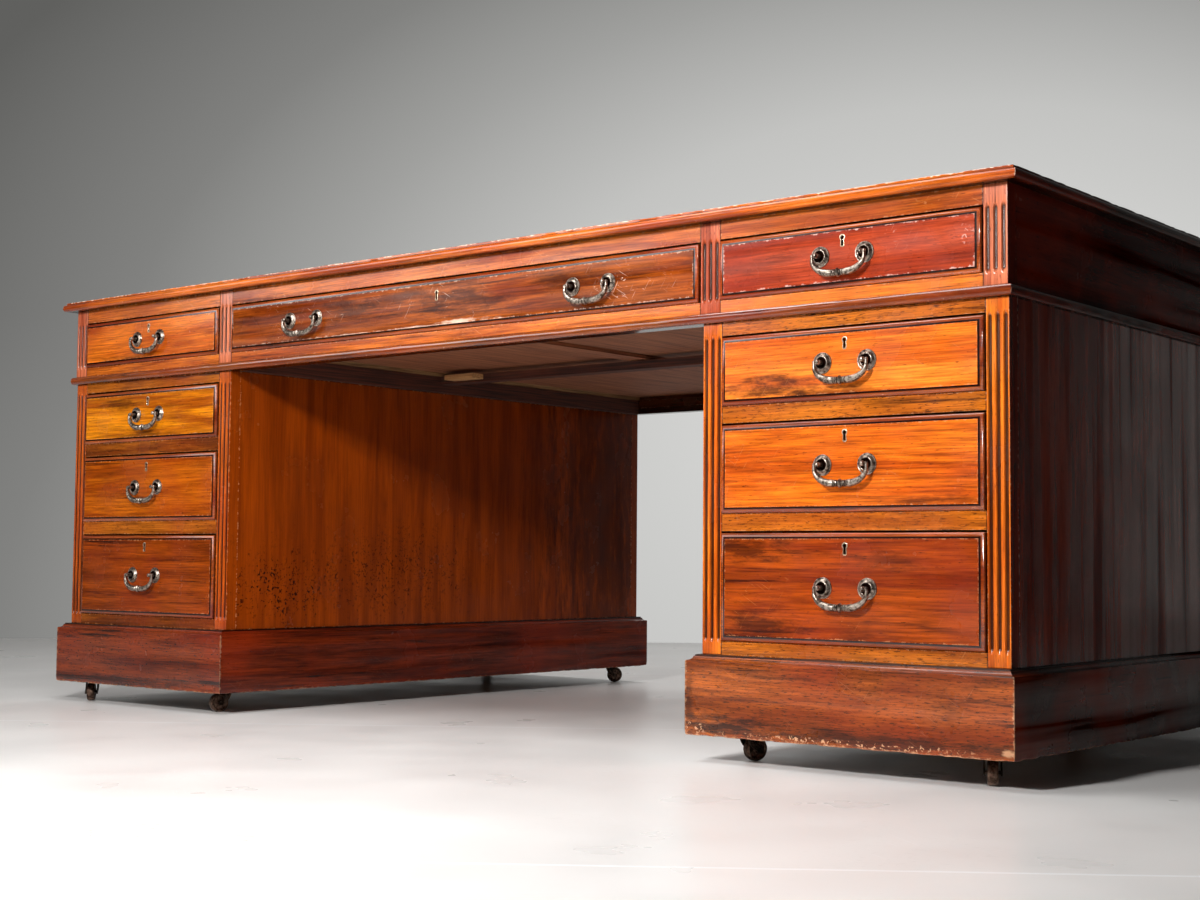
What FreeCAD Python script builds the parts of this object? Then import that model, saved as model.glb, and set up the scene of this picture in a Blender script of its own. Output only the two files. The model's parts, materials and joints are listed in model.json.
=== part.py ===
import FreeCAD, Part
import math
import os

# Partners desk in mahogany: two pedestals on castored plinths carry a frieze section under a top.
# The front has three frieze drawers over three drawers in each pedestal.
# The back has three frieze drawers over a cupboard in each pedestal.
# Frame: +X to the right of someone facing the front, +Y to the back, +Z up, origin on the floor under
# the middle of the desk. All sizes are in millimetres.

Vector = FreeCAD.Vector
X_AXIS = Vector(1, 0, 0)
Y_AXIS = Vector(0, 1, 0)
Z_AXIS = Vector(0, 0, 1)
ORIGIN = Vector(0, 0, 0)
COINCIDENT = 0.001  # points nearer than this are one point
MITRE = 45.0  # degrees

# Carcass
CARCASS_WIDTH = 2004.0  # over the outer faces of both pedestals
DESK_HEIGHT = 780.0  # floor to the upper face of the top; the bottom drawers take up a change
PEDESTAL_WIDTH = 475.0
PEDESTAL_DEPTH = 1191.0
FRIEZE_PROUD = 3.0  # frieze faces stand this far in front of the pedestal faces
FRAME_THICK = 22.0  # stiles and rails
SIDE_THICK = 20.0  # pedestal sides and frieze ends
BOARD_THICK = 14.0  # pedestal tops and bottoms
PARTITION_THICK = 12.0  # cross boards behind the drawers

# Face frames
PEDESTAL_STILE = 33.0
CORNER_STILE = 34.5
INNER_STILE = 35.0
PEDESTAL_BOTTOM_RAIL = 19.0
PEDESTAL_MIDDLE_RAIL = 24.5
PEDESTAL_TOP_RAIL = 19.0
UPPER_DRAWERS = [("top", 100.0), ("middle", 127.0)]  # heights of the openings, from above
FRIEZE_BOTTOM_RAIL = 17.5
FRIEZE_OPENING = 87.5
FRIEZE_TOP_RAIL = 26.0

# Stopped flutes worked in every stile
FLUTES_PER_STILE = 3
FLUTE_PITCH = 11.0
FLUTE_SIDES = 6
FLUTE_DEPTH = 2.2
FLUTE_AXIS_PROUD = 0.25  # axis of the cutter in front of the stile's face
FLUTE_POINT = 7.0  # length over which a flute runs out at each end
FLUTE_OVERRUN = 3.0  # flutes run this far past the drawer openings

# Plinths, waist moulding and top
PLINTH_SKIRT = 14.5  # how far the plinth hangs below its caster blocks
PLINTH_HEIGHT = 104.5
PLINTH_CAP = 8.0  # height of the moulding on the plinth's upper edge
PLINTH_PROUD_SIDE = 14.0
PLINTH_PROUD_FACE = 22.0
PLINTH_THICK = 30.0
PLINTH_ARRIS = 1.2
PLINTH_CAP_RUN = 10.5  # from the plinth's face back to the fillet of its cap
PLINTH_FILLET = 2.4
PLINTH_COVE_SAG = 1.4
CASTER_BLOCK = 86.0
WAIST_HEIGHT = 14.0
WAIST_PROUD = 8.0
WAIST_ROUND = 4.0  # depth of the half round on the waist moulding
TOP_THICK = 17.0
TOP_OVERHANG = 21.0
NOSING_RETURN = 5.0  # how far the nosing rounds back under the top
NOSING_HEIGHT = 12.3
NOSING_WIDEST = 6.0  # height of the nosing's widest line above the underside
NOSING_TOP_INSET = 3.2
FILLET_INSET = 5.5
TOP_ARRIS = 1.0
ARC_BULGE = 0.8  # how far each half of the nosing bulges beyond its chord
LEATHER_BORDER = 82.0  # banding between the leather and the carcass line
LEATHER_THICK = 1.2
LEATHER_RECESS = 1.6

# Frieze interior
BEARER_LAP = 13.5  # how far a runner reaches under a drawer side
PARTITION_BOARD = 19.0
GUIDE_HEIGHT = 12.0
RUNNER_THICK = 20.0
BEAM_DEPTH = 30.0
BEAM_THICK = 16.0
BEAM_OFFSET = 59.5  # centre of the middle beam in front of the desk's centre line
PACKING_BLOCK = (78.0, 31.0, 10.0)
PACKING_FROM_BEARER = 40.0
PACKING_DROP = 1.5  # packing block lies this far below the beam's upper face

# Drawers
MOULD_WIDTH = 8.0
MOULD_PROUD = 6.0
MOULD_LIP = 1.0
MOULD_QUIRK = 1.2
MOULD_FLAT = 0.8
MOULD_STEPS = 3  # facets of the ovolo
FRONT_BACK = 16.0  # thickness of a drawer front behind the frame face
FRONT_SIDE_GAP = 1.0
FRONT_TOP_GAP = 2.8
RUNNING_GAP = 0.3  # drawer over its runner
BOX_SIDE_GAP = 0.8
BOX_SIDE_THICK = 11.0
BOX_BACK_THICK = 10.0
BOX_BOTTOM_THICK = 8.0
BOX_BOTTOM_RISE = 8.0
BOX_TOP_DROP = 6.0  # drawer sides stop this far below the drawer front
BOX_BACK_DROP = 5.0
BOX_END_GAP = 4.0  # drawer back to the cross board behind it
MUNTIN_WIDTH = 44.0
MUNTIN_DROP = 0.8  # muntin's underside above the drawer's lower edge
LOCK_SIZE = (62.0, 8.0, 40.0)
KEYHOLE_DROP = 17.4  # keyhole centre below the top of the drawer front
CENTRE_KEYHOLE_DROP = 23.2
KEYHOLE_RADIUS = 2.7
KEYHOLE_SLOT = 11.5
KEYHOLE_FOOT = 3.8
KEYHOLE_SIDES = 6
KEYHOLE_MOUTH = 60.0  # angle of the round part that opens into the slot, in degrees

# Swan-neck drop handles
HANDLE_SPACING = 69.0
WIDE_HANDLE_INSET = 200.5  # handle's middle from the end of a wide drawer's opening
ROSETTE_SIDES = 10
ROSETTE_PROFILE = [(0.0, 14.5), (1.4, 14.5), (4.6, 8.6)]  # height, radius
POST_SIDES = 6
POST_RADIUS = 3.8
POST_COVER = 4.6  # metal in front of the pivot line
PIVOT_PROUD = 12.0  # pivot line in front of the drawer's field
PIN_RADIUS = 1.4
PIN_GAP = 0.2  # clearance of the pin's corners inside the post's hole
PIN_END = 0.7  # how far a pin passes beyond its post
LEG_GAP = 0.3  # bail's leg beside its post
BAIL_SIDES = 6
BAIL_DROP = 25.5
BAIL_LEG_RADIUS = 2.4
BAIL_LEG_STRAIGHT = 5.0
BAIL_BAR_STRAIGHT = 14.0
BAIL_SHOULDER_RADIUS = 5.0
KNOP_PROFILE = [(0.9, 7.2), (3.2, 3.8), (5.2, 4.6), (7.6, 5.3)]  # from centre, radius
ELBOW_STEPS = 3

# Cupboard doors
DOOR_THICK = 20.0
DOOR_GAP = 1.5
DOOR_HINGE_GAP = 2.4
DOOR_STILE = 56.0
DOOR_RAIL = 60.0
PANEL_THICK = 9.0
PANEL_BEVEL = 26.0
PANEL_RISE = 5.0
PANEL_FILLET = 1.0
PANEL_SET_BACK = 4.0  # panel field behind the door's face
LEAF_THICK = 1.0
KNUCKLE_RADIUS = 3.0
KNUCKLE_PROUD = 3.5  # hinge pin in front of the door's face
KNUCKLE_LENGTH = 24.0
KNUCKLE_GAP = 0.4
KNUCKLE_SIDES = 8
HINGE_INSET = 70.0  # hinge centre from the door's end

# Casters
WHEEL_RADIUS = 17.0
WHEEL_THICK = 14.0
WHEEL_EDGE = 2.0
WHEEL_SIDES = 14
AXLE_RADIUS = 2.4
AXLE_SIDES = 6
AXLE_GAP = 0.3
FORK_HEADROOM = 11.5  # wheel's top to the underside of the crown
FORK_CLEAR = 2.5  # wheel's side to the fork's cheek
CHEEK_THICK = 2.5
CHEEK_END = 5.0
CROWN_RADIUS = 13.0
CROWN_THICK = 3.2
CROWN_SIDES = 8
SWIVEL_GAP = 0.3
SWIVEL_PIN_RADIUS = 3.0
PLATE_THICK = 3.0
PLATE_SIZE = 38.0
CASTER_TRAIL = 14.0
CASTER_INSET_SIDE = 48.0  # swivel pin from the pedestal's side face
CASTER_INSET_FACE = 42.0
# Heading of each caster at rest, in degrees: where its wheel trails, seen from above, 0 along +X
CASTER_HEADINGS = {
    ("left", "front", "outer"): 316.0,
    ("left", "front", "inner"): 256.0,
    ("right", "front", "inner"): 68.0,
    ("right", "front", "outer"): 297.0,
    ("left", "back", "outer"): 150.0,
    ("left", "back", "inner"): 35.0,
    ("right", "back", "inner"): 205.0,
    ("right", "back", "outer"): 98.0,
}
# Casters screwed on off their usual place, as (X, Y) moves
CASTER_NUDGES = {("left", "front", "outer"): (-12.0, -14.0)}

# Levels above the floor: from the casters up to the lowest opening, then from the top down
CROWN_TOP = 2 * WHEEL_RADIUS + FORK_HEADROOM + CROWN_THICK
PLATE_BOTTOM = CROWN_TOP + SWIVEL_GAP
BLOCK_BOTTOM = PLATE_BOTTOM + PLATE_THICK
PLINTH_BOTTOM = BLOCK_BOTTOM - PLINTH_SKIRT
PLINTH_SHOULDER = PLINTH_BOTTOM + PLINTH_HEIGHT
PEDESTAL_BOTTOM = PLINTH_SHOULDER + PLINTH_CAP
CUPBOARD_BOTTOM = PEDESTAL_BOTTOM + PEDESTAL_BOTTOM_RAIL
FRIEZE_TOP = DESK_HEIGHT - TOP_THICK
OPENING_TOP = FRIEZE_TOP - FRIEZE_TOP_RAIL
OPENING_BOTTOM = OPENING_TOP - FRIEZE_OPENING
FRIEZE_BOTTOM = OPENING_BOTTOM - FRIEZE_BOTTOM_RAIL
PEDESTAL_TOP = FRIEZE_BOTTOM - WAIST_HEIGHT
CUPBOARD_TOP = PEDESTAL_TOP - PEDESTAL_TOP_RAIL

# Places across and along the desk
HALF_WIDTH = CARCASS_WIDTH / 2
PEDESTAL_X = HALF_WIDTH - PEDESTAL_WIDTH / 2
HALF_PEDESTAL = PEDESTAL_WIDTH / 2
HALF_OPENING = HALF_PEDESTAL - PEDESTAL_STILE
PEDESTAL_FACE = PEDESTAL_DEPTH / 2
FRIEZE_FACE = PEDESTAL_FACE + FRIEZE_PROUD
HALF_PARTITION = PARTITION_THICK / 2
FRIEZE_END = HALF_WIDTH - SIDE_THICK
SIDE_OPENING = (HALF_WIDTH - CORNER_STILE - 2 * HALF_OPENING, HALF_WIDTH - CORNER_STILE)
INNER_STILE_X = (SIDE_OPENING[0] - INNER_STILE, SIDE_OPENING[0])
CENTRE_OPENING = (-INNER_STILE_X[0], INNER_STILE_X[0])
FRONT_INNER = FRIEZE_FACE - FRAME_THICK  # inner faces of the frieze frames
PEDESTAL_INNER = PEDESTAL_FACE - FRAME_THICK


def pedestal_openings():
    """Name, bottom and top of each drawer opening in a pedestal, from the lowest up."""
    levels = []
    top = CUPBOARD_TOP
    for name, height in UPPER_DRAWERS:
        levels.insert(0, (name, top - height, top))
        top -= height + PEDESTAL_MIDDLE_RAIL
    return [("bottom", CUPBOARD_BOTTOM, top)] + levels


def box(x, y, z):
    """Block between two places on each axis, given in either order."""
    low = Vector(min(x), min(y), min(z))
    high = Vector(max(x), max(y), max(z))
    size = high - low
    return Part.makeBox(size.x, size.y, size.z, low)


def moved(solids, x=0.0, y=0.0, z=0.0):
    """Copies of the solids, shifted."""
    copies = [solid.copy() for solid in solids]
    for solid in copies:
        solid.translate(Vector(x, y, z))
    return copies


def to_back(solids):
    """The same pieces at the back of the desk."""
    return [solid.mirror(ORIGIN, Y_AXIS) for solid in solids]


def to_left(solids):
    """The same pieces at the left of the desk."""
    return [solid.mirror(ORIGIN, X_AXIS) for solid in solids]


def both_sides(solids):
    """The pieces and their mirror images left of centre."""
    return solids + to_left(solids)


def edge_line(points):
    """Edges through points; a point given as a pair of points is an arc's middle and its end."""
    edges = []
    here = points[0]
    for point in points[1:]:
        if isinstance(point, tuple):
            middle, end = point
            edges.append(Part.Arc(here, middle, end).toShape())
        else:
            end = point
            edges.append(Part.makeLine(here, end))
        here = end
    return edges


def profile_face(half, profile):
    """Section in the XZ plane, symmetrical about Z, whose right-hand edge follows the profile.

    Profile points are (inset from the outermost line, height). An arc is a pair of such points.
    """

    def place(point, side):
        return Vector(side * (half - point[0]), 0, point[1])

    def place_item(item, side):
        if isinstance(item[0], tuple):
            return (place(item[0], side), place(item[1], side))
        return place(item, side)

    edges = []
    for side in (1, -1):
        edges += edge_line([place_item(item, side) for item in profile])
    ends = [profile[0], profile[-1] if not isinstance(profile[-1][0], tuple) else profile[-1][1]]
    for end in ends:
        edges.append(Part.makeLine(place(end, -1), place(end, 1)))
    return Part.Face(Part.Wire(Part.__sortEdges__(edges)))


def moulded_slab(half_x, half_y, profile):
    """Slab in the XY plane with moulded edges that meet in mitres at the corners."""
    along_y = profile_face(half_x, profile)
    along_y.translate(Vector(0, -half_y, 0))
    bar_y = along_y.extrude(Vector(0, 2 * half_y, 0))
    along_x = profile_face(half_y, profile)
    along_x.rotate(ORIGIN, Z_AXIS, 90)
    along_x.translate(Vector(-half_x, 0, 0))
    bar_x = along_x.extrude(Vector(2 * half_x, 0, 0))
    return bar_y.common(bar_x).removeSplitter().Solids[0]


def moulding_length(half_length, half_across, width, profile):
    """One length of moulding along the front of a rectangle, with a 45 degree mitre at each end."""

    def place(point):
        return Vector(-half_length, point[0] - half_across, point[1])

    outline = [(place(p[0]), place(p[1])) if isinstance(p[0], tuple) else place(p) for p in profile]
    low = outline[0]
    high = outline[-1][1] if isinstance(outline[-1], tuple) else outline[-1]
    inner = [Vector(-half_length, width - half_across, z) for z in (high.z, low.z)]
    edges = edge_line(outline + inner + [low])
    bar = Part.Face(Part.Wire(edges)).extrude(Vector(2 * half_length, 0, 0))
    corners = [
        Vector(-half_length, -half_across, low.z),
        Vector(half_length, -half_across, low.z),
        Vector(half_length - width, width - half_across, low.z),
        Vector(width - half_length, width - half_across, low.z),
    ]
    mitres = flat_face(corners).extrude(Vector(0, 0, high.z - low.z))
    return bar.common(mitres).removeSplitter().Solids[0]


def moulding_ring(half_x, half_y, width, profile):
    """Four mitred lengths of one moulding round a rectangle."""
    front = moulding_length(half_x, half_y, width, profile)
    right = moulding_length(half_y, half_x, width, profile)
    right.rotate(ORIGIN, Z_AXIS, 90)
    pair = both_sides([right])
    return [front] + to_back([front]) + pair


def flat_face(points):
    """Flat face with the points as its corners."""
    return Part.Face(Part.makePolygon(points + points[:1]))


def band_faces(corners):
    """Flat faces through four corners in order: one face, or two triangles where they twist."""
    distinct = []
    for step, corner in enumerate(corners):
        if not corner.isEqual(corners[step - 1], COINCIDENT):
            distinct.append(corner)
    if len(distinct) < 4:
        return [flat_face(distinct)]
    first, second, third, fourth = distinct
    normal = (third - first).cross(fourth - second).normalize()
    if abs((second - first).dot(normal)) < COINCIDENT:
        return [flat_face(distinct)]
    return [flat_face([first, second, third]), flat_face([first, third, fourth])]


def skinned(rings):
    """Closed solid through rings of points, with flat faces all over."""
    faces = []
    for ring in (rings[0], rings[-1]):
        if not ring[0].isEqual(ring[1], COINCIDENT):
            faces.append(flat_face(ring))
    for lower, upper in zip(rings, rings[1:]):
        for step in range(len(lower)):
            faces += band_faces([lower[step - 1], lower[step], upper[step], upper[step - 1]])
    solid = Part.Solid(Part.Shell(faces))
    if solid.Volume < 0:
        solid.reverse()
    return solid


def moulded_block(half_x, half_y, profile):
    """Block in the XY plane whose four edges follow a profile of (inset, height) points."""
    rings = []
    for inset, height in profile:
        x = half_x - inset
        y = half_y - inset
        rings.append([Vector(-x, -y, height), Vector(x, -y, height), Vector(x, y, height)])
        rings[-1].append(Vector(-x, y, height))
    return skinned(rings)


def turned(profile, sides):
    """Faceted turning about Z through (height, radius) stations."""
    rings = []
    for height, radius in profile:
        angles = [2 * math.pi * (step + 0.5) / sides for step in range(sides)]
        rings.append([Vector(radius * math.cos(a), radius * math.sin(a), height) for a in angles])
    return skinned(rings)


def prism(radius, sides, length):
    """Faceted bar about Z from the XY plane up."""
    return turned([(0.0, radius), (length, radius)], sides)


def flat_to_flat(radius, sides):
    """Corner radius of a regular polygon whose sides touch a circle of the given radius."""
    return radius / math.cos(math.pi / sides)


def fluted_stile(x, plane, z, flutes):
    """Stile with stopped flutes on its front face."""
    stile = box(x, (-plane, FRAME_THICK - plane), z)
    low, high = flutes
    straight = high - low - 2 * FLUTE_POINT
    radius = flat_to_flat(FLUTE_DEPTH + FLUTE_AXIS_PROUD, FLUTE_SIDES)
    profile = [
        (0.0, 0.0),
        (FLUTE_POINT, radius),
        (FLUTE_POINT + straight, radius),
        (high - low, 0.0),
    ]
    pencil = turned(profile, FLUTE_SIDES)
    pencil.rotate(ORIGIN, Z_AXIS, 180 / FLUTE_SIDES)
    middle = (x[0] + x[1]) / 2
    for number in range(FLUTES_PER_STILE):
        across = middle + (number - (FLUTES_PER_STILE - 1) / 2) * FLUTE_PITCH
        cutter = moved([pencil], across, -plane - FLUTE_AXIS_PROUD, low)[0]
        stile = stile.cut(cutter)
    return stile.Solids[0]


def frieze_frame():
    """Front frame of the frieze: four fluted stiles with a rail over and under each drawer."""
    depth = (-FRIEZE_FACE, -FRONT_INNER)
    full = (FRIEZE_BOTTOM, FRIEZE_TOP)
    flutes = (OPENING_BOTTOM - FLUTE_OVERRUN, OPENING_TOP + FLUTE_OVERRUN)
    stiles = [
        fluted_stile((SIDE_OPENING[1], HALF_WIDTH), FRIEZE_FACE, full, flutes),
        fluted_stile(INNER_STILE_X, FRIEZE_FACE, full, flutes),
    ]
    rails = []
    for level in ((FRIEZE_BOTTOM, OPENING_BOTTOM), (OPENING_TOP, FRIEZE_TOP)):
        rails.append(box(CENTRE_OPENING, depth, level))
        rails += both_sides([box(SIDE_OPENING, depth, level)])
    return both_sides(stiles) + rails


def frieze_end_panels():
    """Boards that close the two ends of the frieze."""
    end = box((FRIEZE_END, HALF_WIDTH), (-FRONT_INNER, FRONT_INNER), (FRIEZE_BOTTOM, FRIEZE_TOP))
    return both_sides([end])


def runner(inner, wall, guide, top, thick, length):
    """Runner with a drawer guide on its outer edge, drawn in XZ and run along Y."""
    outline = [
        (inner, top - thick),
        (wall, top - thick),
        (wall, top + GUIDE_HEIGHT),
        (guide, top + GUIDE_HEIGHT),
        (guide, top),
        (inner, top),
    ]
    face = flat_face([Vector(x, length[0], z) for x, z in outline])
    return face.extrude(Vector(0, length[1] - length[0], 0))


def frieze_inner_frame():
    """Bearers, drawer runners and guides, partitions, cross boards, middle beam and packing block."""
    full = (-FRONT_INNER, FRONT_INNER)
    tall = (OPENING_BOTTOM, FRIEZE_TOP)
    bearer_x = (INNER_STILE_X[0] - BEARER_LAP, INNER_STILE_X[1] + BEARER_LAP)
    middle = sum(INNER_STILE_X) / 2
    board_x = (middle - PARTITION_BOARD / 2, middle + PARTITION_BOARD / 2)
    guide_z = (OPENING_BOTTOM, OPENING_BOTTOM + GUIDE_HEIGHT)
    pieces = both_sides(
        [
            box(bearer_x, full, (PEDESTAL_TOP, OPENING_BOTTOM)),
            box(board_x, full, tall),
            runner(
                SIDE_OPENING[1] - BEARER_LAP,
                FRIEZE_END,
                SIDE_OPENING[1],
                OPENING_BOTTOM,
                FRIEZE_BOTTOM_RAIL,
                full,
            ),
        ]
    )
    for y in ((-FRONT_INNER, -HALF_PARTITION), (HALF_PARTITION, FRONT_INNER)):
        pieces += both_sides(
            [
                box((INNER_STILE_X[0], board_x[0]), y, guide_z),
                box((board_x[1], INNER_STILE_X[1]), y, guide_z),
            ]
        )
    cross = (-HALF_PARTITION, HALF_PARTITION)
    pieces.append(box((-board_x[0], board_x[0]), cross, tall))
    side_cross = box((board_x[1], FRIEZE_END), cross, (OPENING_BOTTOM + GUIDE_HEIGHT, FRIEZE_TOP))
    pieces += both_sides([side_cross])
    beam_front = -BEAM_OFFSET - BEAM_DEPTH / 2
    beam_z = (OPENING_BOTTOM - BEAM_THICK, OPENING_BOTTOM)
    pieces.append(box((-bearer_x[0], bearer_x[0]), (beam_front, beam_front + BEAM_DEPTH), beam_z))
    block_x = PACKING_FROM_BEARER - bearer_x[0]
    block_z = OPENING_BOTTOM - PACKING_DROP
    pieces.append(
        box(
            (block_x, block_x + PACKING_BLOCK[0]),
            (beam_front - PACKING_BLOCK[1], beam_front),
            (block_z - PACKING_BLOCK[2], block_z),
        )
    )
    return pieces


def waist_moulding():
    """Half-round moulding that seats the frieze section on the pedestals, in four mitred lengths."""
    half_x = HALF_WIDTH + WAIST_PROUD
    half_y = FRIEZE_FACE + WAIST_PROUD
    middle = (0.0, PEDESTAL_TOP + WAIST_HEIGHT / 2)
    profile = [(WAIST_ROUND, PEDESTAL_TOP), (middle, (WAIST_ROUND, FRIEZE_BOTTOM))]
    return moulding_ring(half_x, half_y, FRAME_THICK + WAIST_PROUD, profile)


def writing_top():
    """Top with a thumb-moulded edge and a shallow recess for the leather."""
    chord_low = (NOSING_RETURN / 2 - ARC_BULGE, FRIEZE_TOP + NOSING_WIDEST / 2 - ARC_BULGE)
    chord_high = (
        NOSING_TOP_INSET / 2 - ARC_BULGE,
        FRIEZE_TOP + (NOSING_WIDEST + NOSING_HEIGHT) / 2 + ARC_BULGE,
    )
    step = FRIEZE_TOP + NOSING_HEIGHT
    profile = [
        (NOSING_RETURN, FRIEZE_TOP),
        (chord_low, (0.0, FRIEZE_TOP + NOSING_WIDEST)),
        (chord_high, (NOSING_TOP_INSET, step)),
        (FILLET_INSET, step),
        (FILLET_INSET, DESK_HEIGHT - TOP_ARRIS),
        (FILLET_INSET + TOP_ARRIS, DESK_HEIGHT),
    ]
    half_x = HALF_WIDTH + TOP_OVERHANG
    half_y = FRIEZE_FACE + TOP_OVERHANG
    slab = moulded_slab(half_x, half_y, profile)
    x, y = leather_span()
    return [slab.cut(box(x, y, (DESK_HEIGHT - LEATHER_RECESS, DESK_HEIGHT))).Solids[0]]


def leather_span():
    """Extent of the leather across and along the desk."""
    half_x = HALF_WIDTH - LEATHER_BORDER
    half_y = FRIEZE_FACE - LEATHER_BORDER
    return (-half_x, half_x), (-half_y, half_y)


def leather_inset():
    """Leather laid in the recess of the top."""
    x, y = leather_span()
    low = DESK_HEIGHT - LEATHER_RECESS
    return [box(x, y, (low, low + LEATHER_THICK))]


def pedestal_face(levels):
    """One face frame of a pedestal centred on x = 0: fluted stiles and a rail at each level."""
    full = (PEDESTAL_BOTTOM, PEDESTAL_TOP)
    flutes = (CUPBOARD_BOTTOM - FLUTE_OVERRUN, CUPBOARD_TOP + FLUTE_OVERRUN)
    stile = fluted_stile((HALF_OPENING, HALF_PEDESTAL), PEDESTAL_FACE, full, flutes)
    depth = (-PEDESTAL_FACE, -PEDESTAL_INNER)
    rails = [box((-HALF_OPENING, HALF_OPENING), depth, level) for level in levels]
    return both_sides([stile]) + rails


def pedestal_frames():
    """Front frame with three drawer openings and back frame with one cupboard opening."""
    ends = [(PEDESTAL_BOTTOM, CUPBOARD_BOTTOM), (CUPBOARD_TOP, PEDESTAL_TOP)]
    openings = pedestal_openings()
    between = [(lower[2], upper[1]) for lower, upper in zip(openings, openings[1:])]
    return pedestal_face(ends + between) + to_back(pedestal_face(ends))


def pedestal_sides():
    """Side boards between the two face frames."""
    x = (HALF_PEDESTAL - SIDE_THICK, HALF_PEDESTAL)
    side = box(x, (-PEDESTAL_INNER, PEDESTAL_INNER), (PEDESTAL_BOTTOM, PEDESTAL_TOP))
    return both_sides([side])


def pedestal_boards():
    """Top, bottom and cross board of a pedestal, with its drawer runners."""
    inside = HALF_PEDESTAL - SIDE_THICK
    across = (-inside, inside)
    along = (-PEDESTAL_INNER, PEDESTAL_INNER)
    floor = PEDESTAL_BOTTOM + BOARD_THICK
    ceiling = PEDESTAL_TOP - BOARD_THICK
    pieces = [
        box(across, along, (PEDESTAL_BOTTOM, floor)),
        box(across, along, (ceiling, PEDESTAL_TOP)),
        box(across, (-HALF_PARTITION, HALF_PARTITION), (floor, ceiling)),
    ]
    length = (-PEDESTAL_INNER, -HALF_PARTITION)
    for name, bottom, _ in pedestal_openings():
        thick = bottom - floor if name == "bottom" else RUNNER_THICK
        rail = runner(HALF_OPENING - BEARER_LAP, inside, HALF_OPENING, bottom, thick, length)
        pieces += both_sides([rail])
    return pieces


def plinth_profile():
    """Edge of a plinth board, from its foot to the coved cap and fillet that meet the pedestal."""
    foot = (PLINTH_CAP_RUN, PEDESTAL_BOTTOM - PLINTH_FILLET)
    cove = (
        (foot[0] + PLINTH_ARRIS) / 2 + PLINTH_COVE_SAG / 2,
        (PLINTH_SHOULDER + foot[1]) / 2 - PLINTH_COVE_SAG,
    )
    return [
        (PLINTH_ARRIS, PLINTH_BOTTOM),
        (0.0, PLINTH_BOTTOM + PLINTH_ARRIS),
        (0.0, PLINTH_SHOULDER - PLINTH_ARRIS),
        (PLINTH_ARRIS, PLINTH_SHOULDER),
        (cove, foot),
        (PLINTH_CAP_RUN, PEDESTAL_BOTTOM),
    ]


def plinth():
    """Mitred plinth under one pedestal, with the corner blocks that carry the casters."""
    half_x = HALF_PEDESTAL + PLINTH_PROUD_SIDE
    half_y = PEDESTAL_FACE + PLINTH_PROUD_FACE
    boards = moulding_ring(half_x, half_y, PLINTH_THICK, plinth_profile())
    inner_x = half_x - PLINTH_THICK
    inner_y = half_y - PLINTH_THICK
    block = box(
        (inner_x - CASTER_BLOCK, inner_x),
        (-inner_y, CASTER_BLOCK - inner_y),
        (BLOCK_BOTTOM, PEDESTAL_BOTTOM),
    )
    blocks = both_sides([block])
    return boards + blocks + to_back(blocks)


def caster_places():
    """Name parts, swivel pin place and rest heading of each caster."""
    places = []
    for (side, row, column), heading in CASTER_HEADINGS.items():
        out = HALF_PEDESTAL - CASTER_INSET_SIDE
        if column == "inner":
            out = -out
        x = PEDESTAL_X + out
        if side == "left":
            x = -x
        y = PEDESTAL_FACE - CASTER_INSET_FACE
        if row == "front":
            y = -y
        nudge_x, nudge_y = CASTER_NUDGES.get((side, row, column), (0.0, 0.0))
        places.append((f"{side}_{row}_{column}", x + nudge_x, y + nudge_y, heading))
    return places


def caster_plate():
    """Screw plate with the swivel pin that the fork turns on."""
    half = PLATE_SIZE / 2
    plate = box((-half, half), (-half, half), (PLATE_BOTTOM, BLOCK_BOTTOM))
    pin = prism(SWIVEL_PIN_RADIUS, AXLE_SIDES, PLATE_BOTTOM - crown_bottom())
    pin.translate(Vector(0, 0, crown_bottom()))
    return plate.fuse(pin).Solids[0]


def crown_bottom():
    """Underside of the fork's crown."""
    return CROWN_TOP - CROWN_THICK


def fork():
    """Crown and two cheeks that carry the axle; the wheel trails along +X."""
    crown = prism(CROWN_RADIUS, CROWN_SIDES, CROWN_THICK)
    crown.translate(Vector(0, 0, crown_bottom()))
    cheek_in = WHEEL_THICK / 2 + FORK_CLEAR
    top = crown_bottom()
    outline = [
        (-CROWN_RADIUS / 2, top + CROWN_THICK),
        (-CROWN_RADIUS / 2, top),
        (CASTER_TRAIL - CHEEK_END, WHEEL_RADIUS - CHEEK_END / 2),
        (CASTER_TRAIL - CHEEK_END / 2, WHEEL_RADIUS - CHEEK_END),
        (CASTER_TRAIL + CHEEK_END / 2, WHEEL_RADIUS - CHEEK_END),
        (CASTER_TRAIL + CHEEK_END, WHEEL_RADIUS + CHEEK_END / 2),
        (CROWN_RADIUS / 2, top),
        (CROWN_RADIUS / 2, top + CROWN_THICK),
    ]
    cheek = flat_face([Vector(x, cheek_in, z) for x, z in outline])
    cheek = cheek.extrude(Vector(0, CHEEK_THICK, 0))
    half_axle = cheek_in + CHEEK_THICK
    axle = prism(AXLE_RADIUS, AXLE_SIDES, 2 * half_axle)
    axle.rotate(ORIGIN, X_AXIS, 90)
    axle.translate(Vector(CASTER_TRAIL, half_axle, WHEEL_RADIUS))
    solid = crown.fuse([cheek, cheek.mirror(ORIGIN, Y_AXIS), axle])
    hole = prism(flat_to_flat(SWIVEL_PIN_RADIUS + AXLE_GAP, AXLE_SIDES), AXLE_SIDES, CROWN_THICK)
    hole.translate(Vector(0, 0, crown_bottom()))
    return solid.cut(hole).removeSplitter().Solids[0]


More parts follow.
